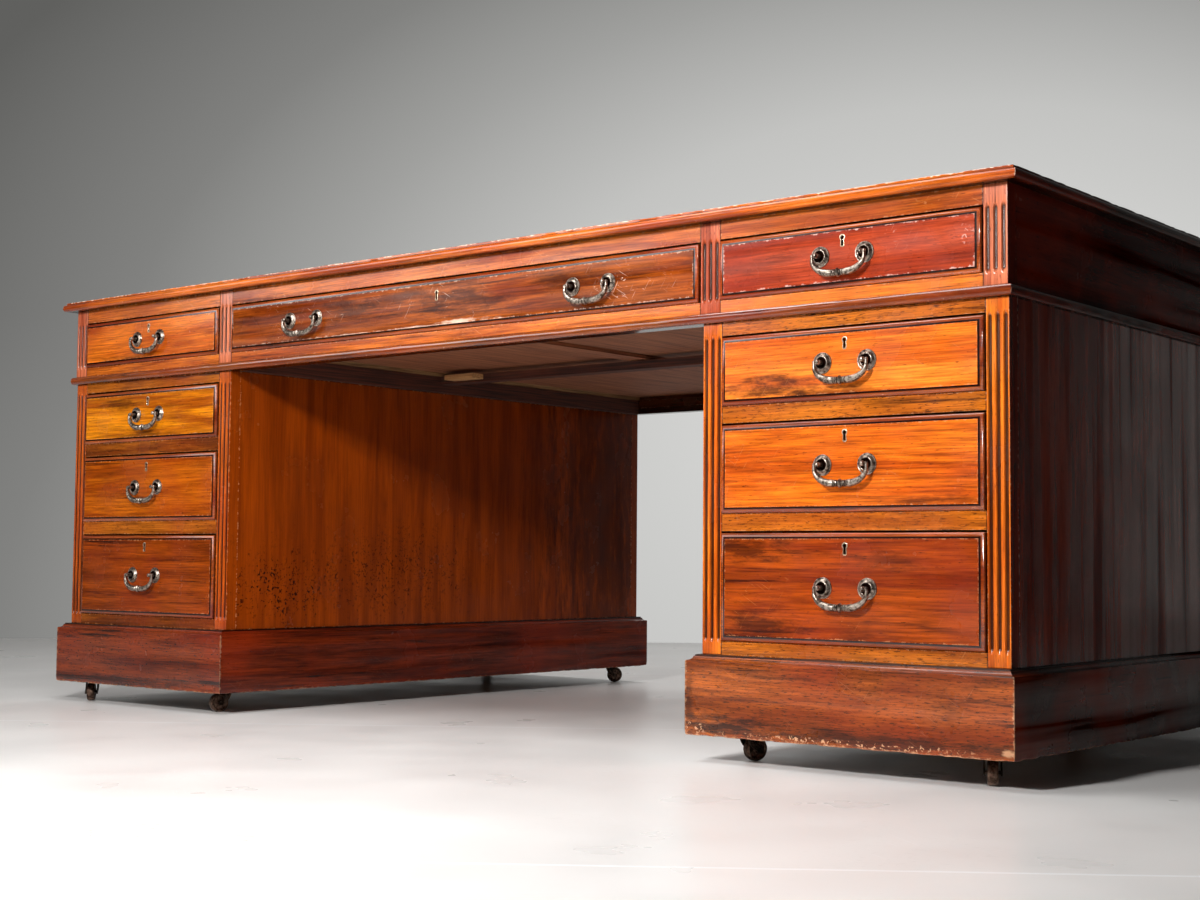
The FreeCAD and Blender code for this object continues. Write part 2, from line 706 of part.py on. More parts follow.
def wheel():
    """Wheel with eased edges and a bore for the axle."""
    radius = flat_to_flat(WHEEL_RADIUS, WHEEL_SIDES)
    eased = flat_to_flat(WHEEL_RADIUS - WHEEL_EDGE, WHEEL_SIDES)
    profile = [
        (0.0, eased),
        (WHEEL_EDGE, radius),
        (WHEEL_THICK - WHEEL_EDGE, radius),
        (WHEEL_THICK, eased),
    ]
    tread = turned(profile, WHEEL_SIDES)
    bore = prism(flat_to_flat(AXLE_RADIUS + AXLE_GAP, AXLE_SIDES), AXLE_SIDES, WHEEL_THICK)
    solid = tread.cut(bore)
    # a quarter turn brings a flat of the tread to the floor, for any number of sides
    solid.rotate(ORIGIN, Z_AXIS, 90)
    solid.rotate(ORIGIN, X_AXIS, 90)
    solid.translate(Vector(CASTER_TRAIL, WHEEL_THICK / 2, WHEEL_RADIUS))
    return solid.Solids[0]


def front_profile():
    """Edge of a drawer front: lip, ovolo, quirk and field, as (inset, height above the frame face)."""
    run = MOULD_WIDTH - MOULD_FLAT
    rise = MOULD_PROUD - MOULD_QUIRK - MOULD_LIP
    profile = [(0.0, -FRONT_BACK)]
    for step in range(MOULD_STEPS + 1):
        turn = math.pi / 2 * step / MOULD_STEPS
        profile.append((run * (1 - math.cos(turn)), MOULD_LIP + rise * math.sin(turn)))
    profile.append((MOULD_WIDTH, MOULD_PROUD - MOULD_QUIRK))
    profile.append((MOULD_WIDTH, MOULD_PROUD))
    return profile


def keyhole_cutter():
    """Keyhole outline run through the whole thickness of a drawer front, along Y from the field."""
    turn = (360 - KEYHOLE_MOUTH) / KEYHOLE_SIDES
    points = []
    for step in range(KEYHOLE_SIDES + 1):
        angle = math.radians(KEYHOLE_MOUTH / 2 - 90 + step * turn)
        points.append(Vector(KEYHOLE_RADIUS * math.cos(angle), 0, KEYHOLE_RADIUS * math.sin(angle)))
    points.append(Vector(-KEYHOLE_FOOT / 2, 0, -KEYHOLE_SLOT))
    points.append(Vector(KEYHOLE_FOOT / 2, 0, -KEYHOLE_SLOT))
    return flat_face(points).extrude(Vector(0, FRONT_BACK + MOULD_PROUD, 0))


def drawer_front(centre, opening, plane, keyhole_drop):
    """Moulded drawer front with its keyhole, seated in an opening of the face frame."""
    x0, x1, z0, z1 = opening
    half_x = (x1 - x0) / 2 - FRONT_SIDE_GAP
    low = z0 + RUNNING_GAP
    high = z1 - FRONT_TOP_GAP
    half_z = (high - low) / 2
    front = moulded_block(half_x, half_z, front_profile())
    front.rotate(ORIGIN, X_AXIS, 90)
    front.translate(Vector(centre, -plane, (low + high) / 2))
    hole = moved([keyhole_cutter()], centre, -plane - MOULD_PROUD, high - keyhole_drop)[0]
    return front.cut(hole).Solids[0]


def drawer_box(centre, opening, plane, muntin):
    """Sides, back, bottom and lock of a drawer; a wide drawer's bottom is in two panels on a muntin."""
    x0, x1, z0, z1 = opening
    outer = (x1 - x0) / 2 - BOX_SIDE_GAP
    inner = outer - BOX_SIDE_THICK
    low = z0 + RUNNING_GAP
    high = z1 - FRONT_TOP_GAP - BOX_TOP_DROP
    start = FRONT_BACK - plane
    end = -HALF_PARTITION - BOX_END_GAP
    floor = low + BOX_BOTTOM_RISE
    top = floor + BOX_BOTTOM_THICK
    side = box((inner, outer), (start, end), (low, high))
    pieces = both_sides([side])
    pieces.append(box((-inner, inner), (end - BOX_BACK_THICK, end), (top, high - BOX_BACK_DROP)))
    if muntin:
        half = MUNTIN_WIDTH / 2
        pieces.append(box((-half, half), (start, end), (low + MUNTIN_DROP, top)))
        pieces += both_sides([box((half, inner), (start, end), (floor, top))])
    else:
        pieces.append(box((-inner, inner), (start, end), (floor, top)))
    lock_top = z1 - FRONT_TOP_GAP - BOX_TOP_DROP
    half_lock = LOCK_SIZE[0] / 2
    lock_z = (lock_top - LOCK_SIZE[2], lock_top)
    pieces.append(box((-half_lock, half_lock), (start, start + LOCK_SIZE[1]), lock_z))
    return moved(pieces, centre)


def rosette():
    """Rosette with its drilled post, standing along -Y from the origin."""
    plate = turned(ROSETTE_PROFILE, ROSETTE_SIDES)
    post = prism(POST_RADIUS, POST_SIDES, PIVOT_PROUD + POST_COVER)
    hole_radius = flat_to_flat(PIN_RADIUS + PIN_GAP, POST_SIDES)
    hole = prism(hole_radius, POST_SIDES, 2 * POST_RADIUS)
    hole.rotate(ORIGIN, Z_AXIS, 180 / POST_SIDES)
    hole.translate(Vector(0, 0, -POST_RADIUS))
    hole.rotate(ORIGIN, Y_AXIS, 90)
    hole.translate(Vector(0, 0, PIVOT_PROUD))
    solid = plate.fuse(post).removeSplitter().cut(hole)
    solid.rotate(ORIGIN, X_AXIS, 90)
    return solid.Solids[0]


def bail_ring(x, z, heading, radius, stretch=1.0):
    """One section of the bail, square to its heading in the XZ plane, in degrees."""
    turn = math.radians(heading)
    points = []
    for step in range(BAIL_SIDES):
        angle = 2 * math.pi * step / BAIL_SIDES
        out = stretch * radius * math.cos(angle)
        across = radius * math.sin(angle)
        points.append(Vector(x - out * math.sin(turn), across, z + out * math.cos(turn)))
    return points


def bail():
    """Swan-neck bail with a turned knop, hanging from a pivot line along X through the origin."""
    post_side = POST_RADIUS * math.cos(math.pi / POST_SIDES)
    leg = HANDLE_SPACING / 2 + post_side + LEG_GAP + BAIL_LEG_RADIUS
    pin_end = HANDLE_SPACING / 2 - post_side - PIN_END
    stations = [(x, -BAIL_DROP, 0.0, radius, 1.0) for x, radius in KNOP_PROFILE]
    run = leg - BAIL_BAR_STRAIGHT
    rise = BAIL_DROP - BAIL_LEG_STRAIGHT
    for step in range(ELBOW_STEPS + 1):
        share = step / ELBOW_STEPS
        turn = math.radians(90 * share)
        x = BAIL_BAR_STRAIGHT + run * math.sin(turn)
        z = rise * (1 - math.cos(turn)) - BAIL_DROP
        radius = BAIL_SHOULDER_RADIUS + share * (BAIL_LEG_RADIUS - BAIL_SHOULDER_RADIUS)
        stations.append((x, z, 90 * share, radius, 1.0))
    stretch = 1 / math.cos(math.radians(MITRE))
    stations.append((leg, 0.0, 90 + MITRE, PIN_RADIUS, stretch))
    stations.append((pin_end, 0.0, 180.0, PIN_RADIUS, 1.0))
    right = [bail_ring(x, z, turn, r, s) for x, z, turn, r, s in stations]
    left = [bail_ring(-x, z, -turn, r, s) for x, z, turn, r, s in stations]
    return skinned(left[::-1] + right)


def drawer_places():
    """Name, face, opening, frame plane and handle places of every drawer."""
    frieze_z = (OPENING_BOTTOM, OPENING_TOP)
    right = SIDE_OPENING + frieze_z
    left = (-SIDE_OPENING[1], -SIDE_OPENING[0]) + frieze_z
    centre = CENTRE_OPENING + frieze_z
    wide_x = CENTRE_OPENING[1] - WIDE_HANDLE_INSET
    wide = [("left_", -wide_x), ("right_", wide_x)]
    side_x = sum(SIDE_OPENING) / 2
    places = []
    for face in ("front", "back"):
        places.append((f"{face}_frieze_left", face, left, FRIEZE_FACE, [("", -side_x)]))
        places.append((f"{face}_frieze_centre", face, centre, FRIEZE_FACE, wide))
        places.append((f"{face}_frieze_right", face, right, FRIEZE_FACE, [("", side_x)]))
    for side, x in (("left", -PEDESTAL_X), ("right", PEDESTAL_X)):
        for level, bottom, top in pedestal_openings():
            opening = (x - HALF_OPENING, x + HALF_OPENING, bottom, top)
            places.append((f"{side}_{level}", "front", opening, PEDESTAL_FACE, [("", x)]))
    return places


def drawer(opening, plane, handles):
    """All the pieces of one drawer that slide together, with the handles' rosettes."""
    centre = (opening[0] + opening[1]) / 2
    wide = len(handles) > 1
    keyhole_drop = CENTRE_KEYHOLE_DROP if wide else KEYHOLE_DROP
    pieces = [drawer_front(centre, opening, plane, keyhole_drop)]
    pieces += drawer_box(centre, opening, plane, wide)
    middle = (opening[2] + opening[3]) / 2
    post = rosette()
    for _, x in handles:
        for side in (-1, 1):
            place = x + side * HANDLE_SPACING / 2
            pieces += moved([post], place, -plane - MOULD_PROUD, middle)
    return pieces


def door_edges():
    """Extent of a right-hand door about its pedestal's centre: hinge edge first, then the other."""
    return HALF_OPENING - DOOR_HINGE_GAP, DOOR_GAP - HALF_OPENING


def hinge_levels():
    """Height of each hinge's middle."""
    return (CUPBOARD_BOTTOM + HINGE_INSET, CUPBOARD_TOP - HINGE_INSET)


def knuckle(x, leaf_x, low):
    """Hinge knuckle with its leaf, at a pin in front of the pedestal's face."""
    barrel = prism(KNUCKLE_RADIUS, KNUCKLE_SIDES, KNUCKLE_LENGTH)
    barrel.translate(Vector(x, -PEDESTAL_FACE - KNUCKLE_PROUD, low))
    leaf = box(
        leaf_x,
        (-PEDESTAL_FACE - KNUCKLE_PROUD, -PEDESTAL_FACE + DOOR_THICK),
        (low, low + KNUCKLE_LENGTH),
    )
    return barrel.fuse(leaf).removeSplitter().Solids[0]


def door_knuckles():
    """Upper halves of the hinges, on the door."""
    edge = door_edges()[0]
    pin = HALF_OPENING - DOOR_HINGE_GAP / 2
    return [knuckle(pin, (edge, edge + LEAF_THICK), z + KNUCKLE_GAP / 2) for z in hinge_levels()]


def frame_knuckles():
    """Lower halves of the hinges, on the stile."""
    pin = HALF_OPENING - DOOR_HINGE_GAP / 2
    leaf = (HALF_OPENING - LEAF_THICK, HALF_OPENING)
    drop = KNUCKLE_LENGTH + KNUCKLE_GAP / 2
    return [knuckle(pin, leaf, z - drop) for z in hinge_levels()]


def cupboard_door():
    """Framed door with a fielded panel and a keyhole, drawn at the front of a pedestal."""
    hinge, free = door_edges()
    depth = (-PEDESTAL_FACE, DOOR_THICK - PEDESTAL_FACE)
    low = CUPBOARD_BOTTOM + DOOR_GAP
    high = CUPBOARD_TOP - DOOR_GAP
    inner = (free + DOOR_STILE, hinge - DOOR_STILE)
    lock_stile = box((free, inner[0]), depth, (low, high))
    middle = (low + high) / 2
    hole = moved([keyhole_cutter()], free + DOOR_STILE / 2, -PEDESTAL_FACE, middle)[0]
    pieces = [lock_stile.cut(hole).Solids[0], box((inner[1], hinge), depth, (low, high))]
    for level in ((low, low + DOOR_RAIL), (high - DOOR_RAIL, high)):
        pieces.append(box(inner, depth, level))
    half_x = (inner[1] - inner[0]) / 2
    half_z = (high - low) / 2 - DOOR_RAIL
    profile = [
        (0.0, -PANEL_THICK),
        (0.0, -PANEL_RISE),
        (PANEL_BEVEL, -PANEL_FILLET),
        (PANEL_BEVEL, 0.0),
    ]
    panel = moulded_block(half_x, half_z, profile)
    panel.rotate(ORIGIN, X_AXIS, 90)
    panel.translate(Vector(sum(inner) / 2, PANEL_SET_BACK - PEDESTAL_FACE, middle))
    return pieces + [panel] + door_knuckles()


def add_root(nodes):
    """Pieces that stay still: top, frieze, pedestals, plinths and caster plates."""
    nodes["writing_top"] = writing_top()
    nodes["leather_inset"] = leather_inset()
    nodes["frieze_front_frame"] = frieze_frame()
    nodes["frieze_back_frame"] = to_back(frieze_frame())
    nodes["frieze_end_panels"] = frieze_end_panels()
    nodes["frieze_inner_frame"] = frieze_inner_frame()
    nodes["waist_moulding"] = waist_moulding()
    frames = pedestal_frames()
    knuckles = to_back(frame_knuckles())
    for side, hand in (("left", to_left), ("right", list)):
        x = {"left": -PEDESTAL_X, "right": PEDESTAL_X}[side]
        nodes[f"{side}_pedestal_frames"] = moved(frames + hand(knuckles), x)
        nodes[f"{side}_pedestal_sides"] = moved(pedestal_sides(), x)
        nodes[f"{side}_pedestal_boards"] = moved(pedestal_boards(), x)
        nodes[f"{side}_plinth"] = moved(plinth(), x)
        nodes[f"{side}_cupboard_door"] = moved(hand(to_back(cupboard_door())), x)
    plate = caster_plate()
    nodes["caster_plates"] = [moved([plate], x, y)[0] for _, x, y, _ in caster_places()]


def add_casters(nodes):
    """Fork and wheel of each caster, turned to its rest heading."""
    for name, x, y, heading in caster_places():
        for kind, solid in (("fork", fork()), ("wheel", wheel())):
            solid.rotate(ORIGIN, Z_AXIS, heading)
            nodes[f"{name}_caster_{kind}"] = moved([solid], x, y)


def add_drawers(nodes):
    """Every drawer and the bails that hang on it."""
    for name, face, opening, plane, handles in drawer_places():
        hand = to_back if face == "back" else list
        nodes[f"{name}_drawer"] = hand(drawer(opening, plane, handles))
        middle = (opening[2] + opening[3]) / 2
        for which, x in handles:
            hung = moved([bail()], x, -plane - MOULD_PROUD - PIVOT_PROUD, middle)
            nodes[f"{name}_{which}bail"] = hand(hung)


def main():
    """Builds every node and writes one STEP file for each."""
    nodes = {}
    add_root(nodes)
    add_casters(nodes)
    add_drawers(nodes)
    os.makedirs("parts", exist_ok=True)
    for name, solids in nodes.items():
        for solid in solids:
            if not solid.isValid():
                raise ValueError(f"{name} holds an invalid solid")
        Part.makeCompound(solids).exportStep(f"parts/{name}.step")


main()
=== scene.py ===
"""Pedestal partners desk in French-polished mahogany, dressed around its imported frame.

Every piece is worked in metres in the frame's own axes: X to the right of someone facing the
front, Y to the back, Z up from the floor. Sizes are written in millimetres times MM.
"""

import json
import logging
import math
import random
from collections.abc import Callable, Iterable, Sequence
from dataclasses import dataclass, field
from enum import Enum
from typing import Any

import bmesh
import bpy
from mathutils import Matrix, Vector, noise


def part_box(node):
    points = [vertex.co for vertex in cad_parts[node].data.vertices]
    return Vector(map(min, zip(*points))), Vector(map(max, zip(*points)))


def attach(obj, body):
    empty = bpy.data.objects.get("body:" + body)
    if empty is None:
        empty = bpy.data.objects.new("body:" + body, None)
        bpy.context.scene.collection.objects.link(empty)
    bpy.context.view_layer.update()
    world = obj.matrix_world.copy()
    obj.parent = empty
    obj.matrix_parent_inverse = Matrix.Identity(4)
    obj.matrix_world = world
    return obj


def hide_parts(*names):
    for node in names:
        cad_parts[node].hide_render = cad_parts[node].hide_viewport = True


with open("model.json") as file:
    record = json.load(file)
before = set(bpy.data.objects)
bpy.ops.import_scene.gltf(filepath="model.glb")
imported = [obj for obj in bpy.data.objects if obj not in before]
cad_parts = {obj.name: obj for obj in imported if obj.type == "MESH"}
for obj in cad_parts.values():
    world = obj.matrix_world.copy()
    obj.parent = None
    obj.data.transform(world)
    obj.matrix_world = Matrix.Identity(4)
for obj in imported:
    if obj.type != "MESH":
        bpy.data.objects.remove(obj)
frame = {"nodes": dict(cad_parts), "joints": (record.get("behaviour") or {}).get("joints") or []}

MM = 0.001
LOG = logging.getLogger("partners_desk")
SMOOTH_BELOW = math.radians(38)  # neighbouring faces that meet more gently are shaded as one

BMesh = bmesh.types.BMesh
Box = tuple[Vector, Vector]


class Grain(Enum):
    """Which way the fibres of a board run; the value lists its axes along, across and through."""

    ALONG_X = (0, 2, 1)
    ALONG_Y = (1, 2, 0)
    UPRIGHT = (2, 0, 1)
    UPRIGHT_SIDE = (2, 1, 0)  # as UPRIGHT, in a board that shows its face to the side


class Face(Enum):
    """Which side of the desk a front looks to; the value is the sign of its Y."""

    FRONT = -1
    BACK = 1


# ---------------------------------------------------------------- colour and nodes


def srgb(colour: str) -> tuple[float, float, float, float]:
    """Turns an sRGB hex value into a linear colour.

    Args:
        colour: Six hex digits after a hash.

    Returns:
        Linear red, green and blue with a full alpha.
    """
    channels = [int(colour[i : i + 2], 16) / 255 for i in (1, 3, 5)]
    linear = [c / 12.92 if c <= 0.04045 else ((c + 0.055) / 1.055) ** 2.4 for c in channels]
    return (*linear, 1.0)


def add_node(tree: bpy.types.NodeTree, kind: str, sockets: dict | None = None, **settings: Any):
    """Adds a node with its settings and links.

    Args:
        tree: Tree that gets the node.
        kind: Node type.
        sockets: Input name or number to a constant, a hex colour or a socket to link from.
        **settings: Properties of the node; `stops` fills a colour ramp with (place, hex) pairs.

    Returns:
        The node.
    """
    node = tree.nodes.new(kind)
    for name, value in settings.items():
        if name == "stops":
            ramp = node.color_ramp.elements
            while len(ramp) < len(value):
                ramp.new(0.5)
            for element, (place, colour) in zip(ramp, value):
                element.position = place
                element.color = srgb(colour)
        else:
            setattr(node, name, value)
    for name, value in (sockets or {}).items():
        socket = node.inputs[name]
        if isinstance(value, bpy.types.NodeSocket):
            tree.links.new(value, socket)
        else:
            socket.default_value = srgb(value) if isinstance(value, str) else value
    return node


def new_material(name: str) -> tuple[bpy.types.Material, bpy.types.NodeTree]:
    """Starts a material with an empty node tree.

    Args:
        name: Name of the finish.

    Returns:
        The material and its tree.
    """
    material = bpy.data.materials.new(name)
    material.use_nodes = True
    material.node_tree.nodes.clear()
    return material, material.node_tree


def blend(tree: bpy.types.NodeTree, share: Any, first: Any, second: Any, mode: str = "MIX"):
    """Blends two colours and gives the socket of the result.

    Args:
        tree: Tree that gets the node.
        share: Share of the second colour, as a number or a socket.
        first: Colour under it, as hex or a socket.
        second: Colour over it.
        mode: Blend type.

    Returns:
        The colour socket.
    """
    sockets = {0: share, 6: first, 7: second}
    node = add_node(tree, "ShaderNodeMix", sockets, data_type="RGBA", blend_type=mode)
    return node.outputs[2]


def ranged(tree: bpy.types.NodeTree, value: Any, spans: tuple[float, float, float, float]):
    """Maps one span of a value to another, held at its ends.

    Args:
        tree: Tree that gets the node.
        value: Socket to map.
        spans: From low, from high, to low, to high.

    Returns:
        The socket of the mapped value.
    """
    sockets = dict(zip(("Value", "From Min", "From Max", "To Min", "To Max"), (value, *spans)))
    return add_node(tree, "ShaderNodeMapRange", sockets).outputs[0]


def maths(tree: bpy.types.NodeTree, operation: str, *values: Any):
    """Works one sum on numbers.

    Args:
        tree: Tree that gets the node.
        operation: Kind of sum.
        *values: Numbers or sockets, in the node's order.

    Returns:
        The socket of the result.
    """
    node = add_node(tree, "ShaderNodeMath", dict(enumerate(values)), operation=operation)
    return node.outputs[0]


def vectors(tree: bpy.types.NodeTree, operation: str, *values: Any):
    """Works one sum on vectors.

    Args:
        tree: Tree that gets the node.
        operation: Kind of sum.
        *values: Vectors or sockets, in the node's order.

    Returns:
        The socket of the result, a number for a length or a dot product.
    """
    node = add_node(tree, "ShaderNodeVectorMath", dict(enumerate(values)), operation=operation)
    return node.outputs["Value" if operation in ("LENGTH", "DOT_PRODUCT") else "Vector"]


def layer(tree: bpy.types.NodeTree, name: str, output: str = "Vector"):
    """Reads a layer that the pieces carry."""
    return add_node(tree, "ShaderNodeAttribute", attribute_name=name).outputs[output]


def speckle(tree: bpy.types.NodeTree, place: Any, size: float, **sockets: float):
    """Noise whose patches have a real size.

    Args:
        tree: Tree that gets the node.
        place: Vector socket in metres.
        size: Rough width of a patch in metres.
        **sockets: Detail, Roughness and Distortion where they differ from the defaults.

    Returns:
        The socket of the noise's value.
    """
    inputs = {"Vector": place, "Scale": 1 / size, **sockets}
    return add_node(tree, "ShaderNodeTexNoise", inputs).outputs["Fac"]


def grain_marks(
    tree: bpy.types.NodeTree, size: tuple[float, float], turn: float = 0.0, **sockets: float
):
    """Noise drawn out along the grain of each board.

    Args:
        tree: Tree that gets the nodes.
        size: Rough length and width of a mark in metres.
        turn: Degrees by which the marks lie off the grain.
        **sockets: Detail, Roughness and Distortion where they differ from the defaults.

    Returns:
        The socket of the noise's value.
    """
    length, width = size
    sizes = {
        "Vector": layer(tree, "board"),
        "Rotation": (0, 0, math.radians(turn)),
        "Scale": (length, width, width),
    }
    drawn = add_node(tree, "ShaderNodeMapping", sizes, vector_type="TEXTURE").outputs[0]
    place = vectors(tree, "ADD", drawn, layer(tree, "log"))
    inputs = {"Vector": place, "Scale": 1.0, **sockets}
    return add_node(tree, "ShaderNodeTexNoise", inputs).outputs["Fac"]


# ---------------------------------------------------------------- finishes


# on the wood this colour is also painted shade in quirks, flutes, undersides and gaps between parts; on the
# metal it is grime in the hollows
GRIME_AND_SHADE = "#190803"  # wax and dirt in corners


@dataclass(frozen=True)
class StainOrShade:
    """Patch of smoke, water, wear or painted shade, placed from the board's middle along and across its grain.
    """

    along: float  # all sizes in millimetres
    across: float
    long: float
    wide: float
    strength: float = 0.75
    pale: bool = False  # True where the polish is worn off
    flecked: bool = False  # True for a scatter of short marks


@dataclass(frozen=True)
class PolishedMahogany:
    """Mahogany, sawn and scraped, then French polished with shellac and worn for a century.

    The eye sees a deep orange-brown with long dark streaks and short pores along the grain, a
    gloss that is slightly rippled, and arrises where the polish has gone.
    """

    name: str
    heart: str = "#a8480c"
    pale: str = "#dd7416"  # lighter early wood
    deep: str = "#2c0c03"  # dark streaks, clouds and pores
    blush: str = "#9c2a0a"  # red patches in the polish
    worn: str = "#d08a52"  # bare wood on rubbed arrises
    clouds: float = 0.4
    streaks: float = 0.5
    pores: float = 0.5
    fibres: float = 0.42  # how far the fibres lighten and darken the wood
    variety: float = 0.08  # how far boards differ
    redness: float = 0.3
    gloss: float = 0.22  # roughness of the polish
    sheen: tuple[float, float] = (0.3, 0.5)  # how strongly the polish mirrors, streak by streak
    coat: float = 0.3  # fresh shellac over the old polish
    rubbed: float = 0.45  # how strongly the arrises are rubbed through
    rub_width: float = 0.9 * MM
    knocks: float = 0.3  # pale scratches and specks
    joints: float = 0.6  # dirt in the joints at the ends of a board
    stains_and_shade: tuple[StainOrShade, ...] = ()

    FIGURE = (420 * MM, 34 * MM)  # every size is along and across the grain
    CLOUD = (170 * MM, 55 * MM)
    STREAK = (260 * MM, 11 * MM)
    FIBRE = (70 * MM, 2.6 * MM)  # fibres are finer; this is as coarse as it needs to show
    PORE = (12 * MM, 1.7 * MM)
    SCRATCH = (46 * MM, 1.3 * MM)
    SHEEN = (700 * MM, 28 * MM)
    RIPPLE = 55 * MM

    def rim(self, tree: bpy.types.NodeTree):
        """Distance from the nearest arris of the board, in metres.

        Args:
            tree: The material's tree.

        Returns:
            The socket of the distance.
        """
        away = vectors(tree, "ABSOLUTE", layer(tree, "board"))
        left = vectors(tree, "SUBTRACT", layer(tree, "half"), away)
        axes = add_node(
            tree, "ShaderNodeSeparateXYZ", {0: vectors(tree, "ABSOLUTE", left)}
        ).outputs
        low = maths(tree, "MINIMUM", axes[0], axes[1])
        high = maths(tree, "MAXIMUM", axes[0], axes[1])
        return maths(tree, "MAXIMUM", low, maths(tree, "MINIMUM", high, axes[2]))

    def wood(self, tree: bpy.types.NodeTree, place: Any, fibre: Any):
        """Colour of the wood with its figure, fibres, clouds, streaks, pores, marks of smoke, water and wear,
        and patches of painted shade.

        Args:
            tree: The material's tree.
            place: Socket of the place on the desk.
            fibre: Socket of the fibres' noise.

        Returns:
            The colour socket.
        """
        figure = grain_marks(tree, self.FIGURE, Detail=9.0, Roughness=0.62, Distortion=0.5)
        stops = [(0.4, self.heart), (0.58, self.pale)]
        colour = add_node(tree, "ShaderNodeValToRGB", {0: figure}, stops=stops).outputs[0]
        log = add_node(tree, "ShaderNodeSeparateXYZ", {0: layer(tree, "log")}).outputs[0]
        tint = ranged(tree, log, (-40, 40, 1 - self.variety, 1 + self.variety))
        thread = ranged(tree, fibre, (0.32, 0.68, 1 - self.fibres, 1 + self.fibres))
        shade = {0: colour, "Scale": maths(tree, "MULTIPLY", tint, thread)}
        colour = add_node(tree, "ShaderNodeVectorMath", shade, operation="SCALE").outputs[0]
        patch = speckle(tree, place, 160 * MM, Detail=2.0)
        colour = blend(
            tree, ranged(tree, patch, (0.42, 0.66, 0, self.redness)), colour, self.blush
        )
        for size, share, reach, strength in (
            (self.CLOUD, self.clouds, 0.2, 0.75),
            (self.STREAK, self.streaks, 0.1, 0.85),
            (self.PORE, self.pores, 0.06, 0.8),
        ):
            marks = grain_marks(tree, size, Detail=5.0, Roughness=0.65)
            edge = 0.74 - 0.24 * share
            dark = ranged(tree, marks, (edge, edge + reach, 0.0, strength))
            colour = blend(tree, dark, colour, self.deep)
        if self.stains_and_shade:
            ragged = grain_marks(tree, (60 * MM, 14 * MM), Detail=5.0, Roughness=0.7)
            ragged = ranged(tree, ragged, (0.3, 0.7, 0.75, -0.75))
        for stain_or_shade in self.stains_and_shade:
            spot = {
                "Vector": layer(tree, "board"),
                "Location": (stain_or_shade.along * MM, stain_or_shade.across * MM, 0),
                "Scale": (stain_or_shade.long * MM, stain_or_shade.wide * MM, 1),
            }
            spot = add_node(tree, "ShaderNodeMapping", spot, vector_type="TEXTURE").outputs[0]
            reach = maths(tree, "ADD", vectors(tree, "LENGTH", spot), ragged)
            dark = ranged(tree, reach, (0.35, 1.1, stain_or_shade.strength, 0.0))
            if stain_or_shade.flecked:
                fleck = {"Distortion": 1.0, "Detail": 2.0}
                fleck = ranged(tree, speckle(tree, place, 6 * MM, **fleck), (0.57, 0.61, 0.0, 1.0))
                dark = maths(tree, "MULTIPLY", dark, fleck)
            colour = blend(tree, dark, colour, self.worn if stain_or_shade.pale else self.deep)
        return colour

    def wear(self, tree: bpy.types.NodeTree, place: Any, colour: Any) -> tuple[Any, Any]:
        """Rubs the arrises, scratches the faces, and darkens joints, recesses and undersides with grime and
        painted shade.

        Args:
            tree: The material's tree.
            place: Socket of the place on the desk.
            colour: Socket of the wood's colour.

        Returns:
            The colour socket, and the socket of how far the polish is gone.
        """
        ragged = speckle(tree, place, 7 * MM, Detail=4.0, Roughness=0.7)
        ragged = ranged(tree, ragged, (0.36, 0.7, 2.4 * MM, -2.4 * MM))
        rim = maths(tree, "ADD", self.rim(tree), ragged)
        rub = ranged(tree, rim, (0.0, self.rub_width, self.rubbed, 0.0))
        # the layer holds grime and painted shade up to 1, and arrises knocked bare at -1
        soil = layer(tree, "soil", "Fac")
        bare = maths(tree, "ADD", soil, ranged(tree, ragged, (-2 * MM, 2 * MM, 0.0, 1.4)))
        rub = maths(tree, "MAXIMUM", rub, ranged(tree, bare, (-0.1, -0.3, 0.0, self.rubbed)))
        colour = blend(tree, rub, colour, self.worn)
        marks = [
            ranged(tree, grain_marks(tree, self.SCRATCH, turn, Detail=1.0), (0.7, 0.76, 0, 1))
            for turn in (57, -31)
        ]
        chip = grain_marks(tree, (9 * MM, 4 * MM), Detail=2.0, Distortion=1.0)
        marks.append(ranged(tree, chip, (0.69, 0.73, 0.0, 1.0)))
        knock = maths(tree, "MAXIMUM", maths(tree, "MAXIMUM", marks[0], marks[1]), marks[2])
        busy = ranged(tree, speckle(tree, place, 70 * MM, Detail=3.0), (0.5, 0.64, 0, self.knocks))
        colour = blend(tree, maths(tree, "MULTIPLY", knock, busy), colour, self.worn)
        away = vectors(tree, "ABSOLUTE", layer(tree, "board"))
        left = vectors(tree, "SUBTRACT", layer(tree, "half"), away)
        ends = add_node(tree, "ShaderNodeSeparateXYZ", {0: left}).outputs[0]
        joint = ranged(tree, ends, (0.5 * MM, 1.8 * MM, self.joints, 0.0))
        # dark joints, grime and painted shade, all blended to one dark colour
        dirt_and_shade = maths(tree, "MAXIMUM", joint, soil)
        return blend(tree, dirt_and_shade, colour, GRIME_AND_SHADE), rub

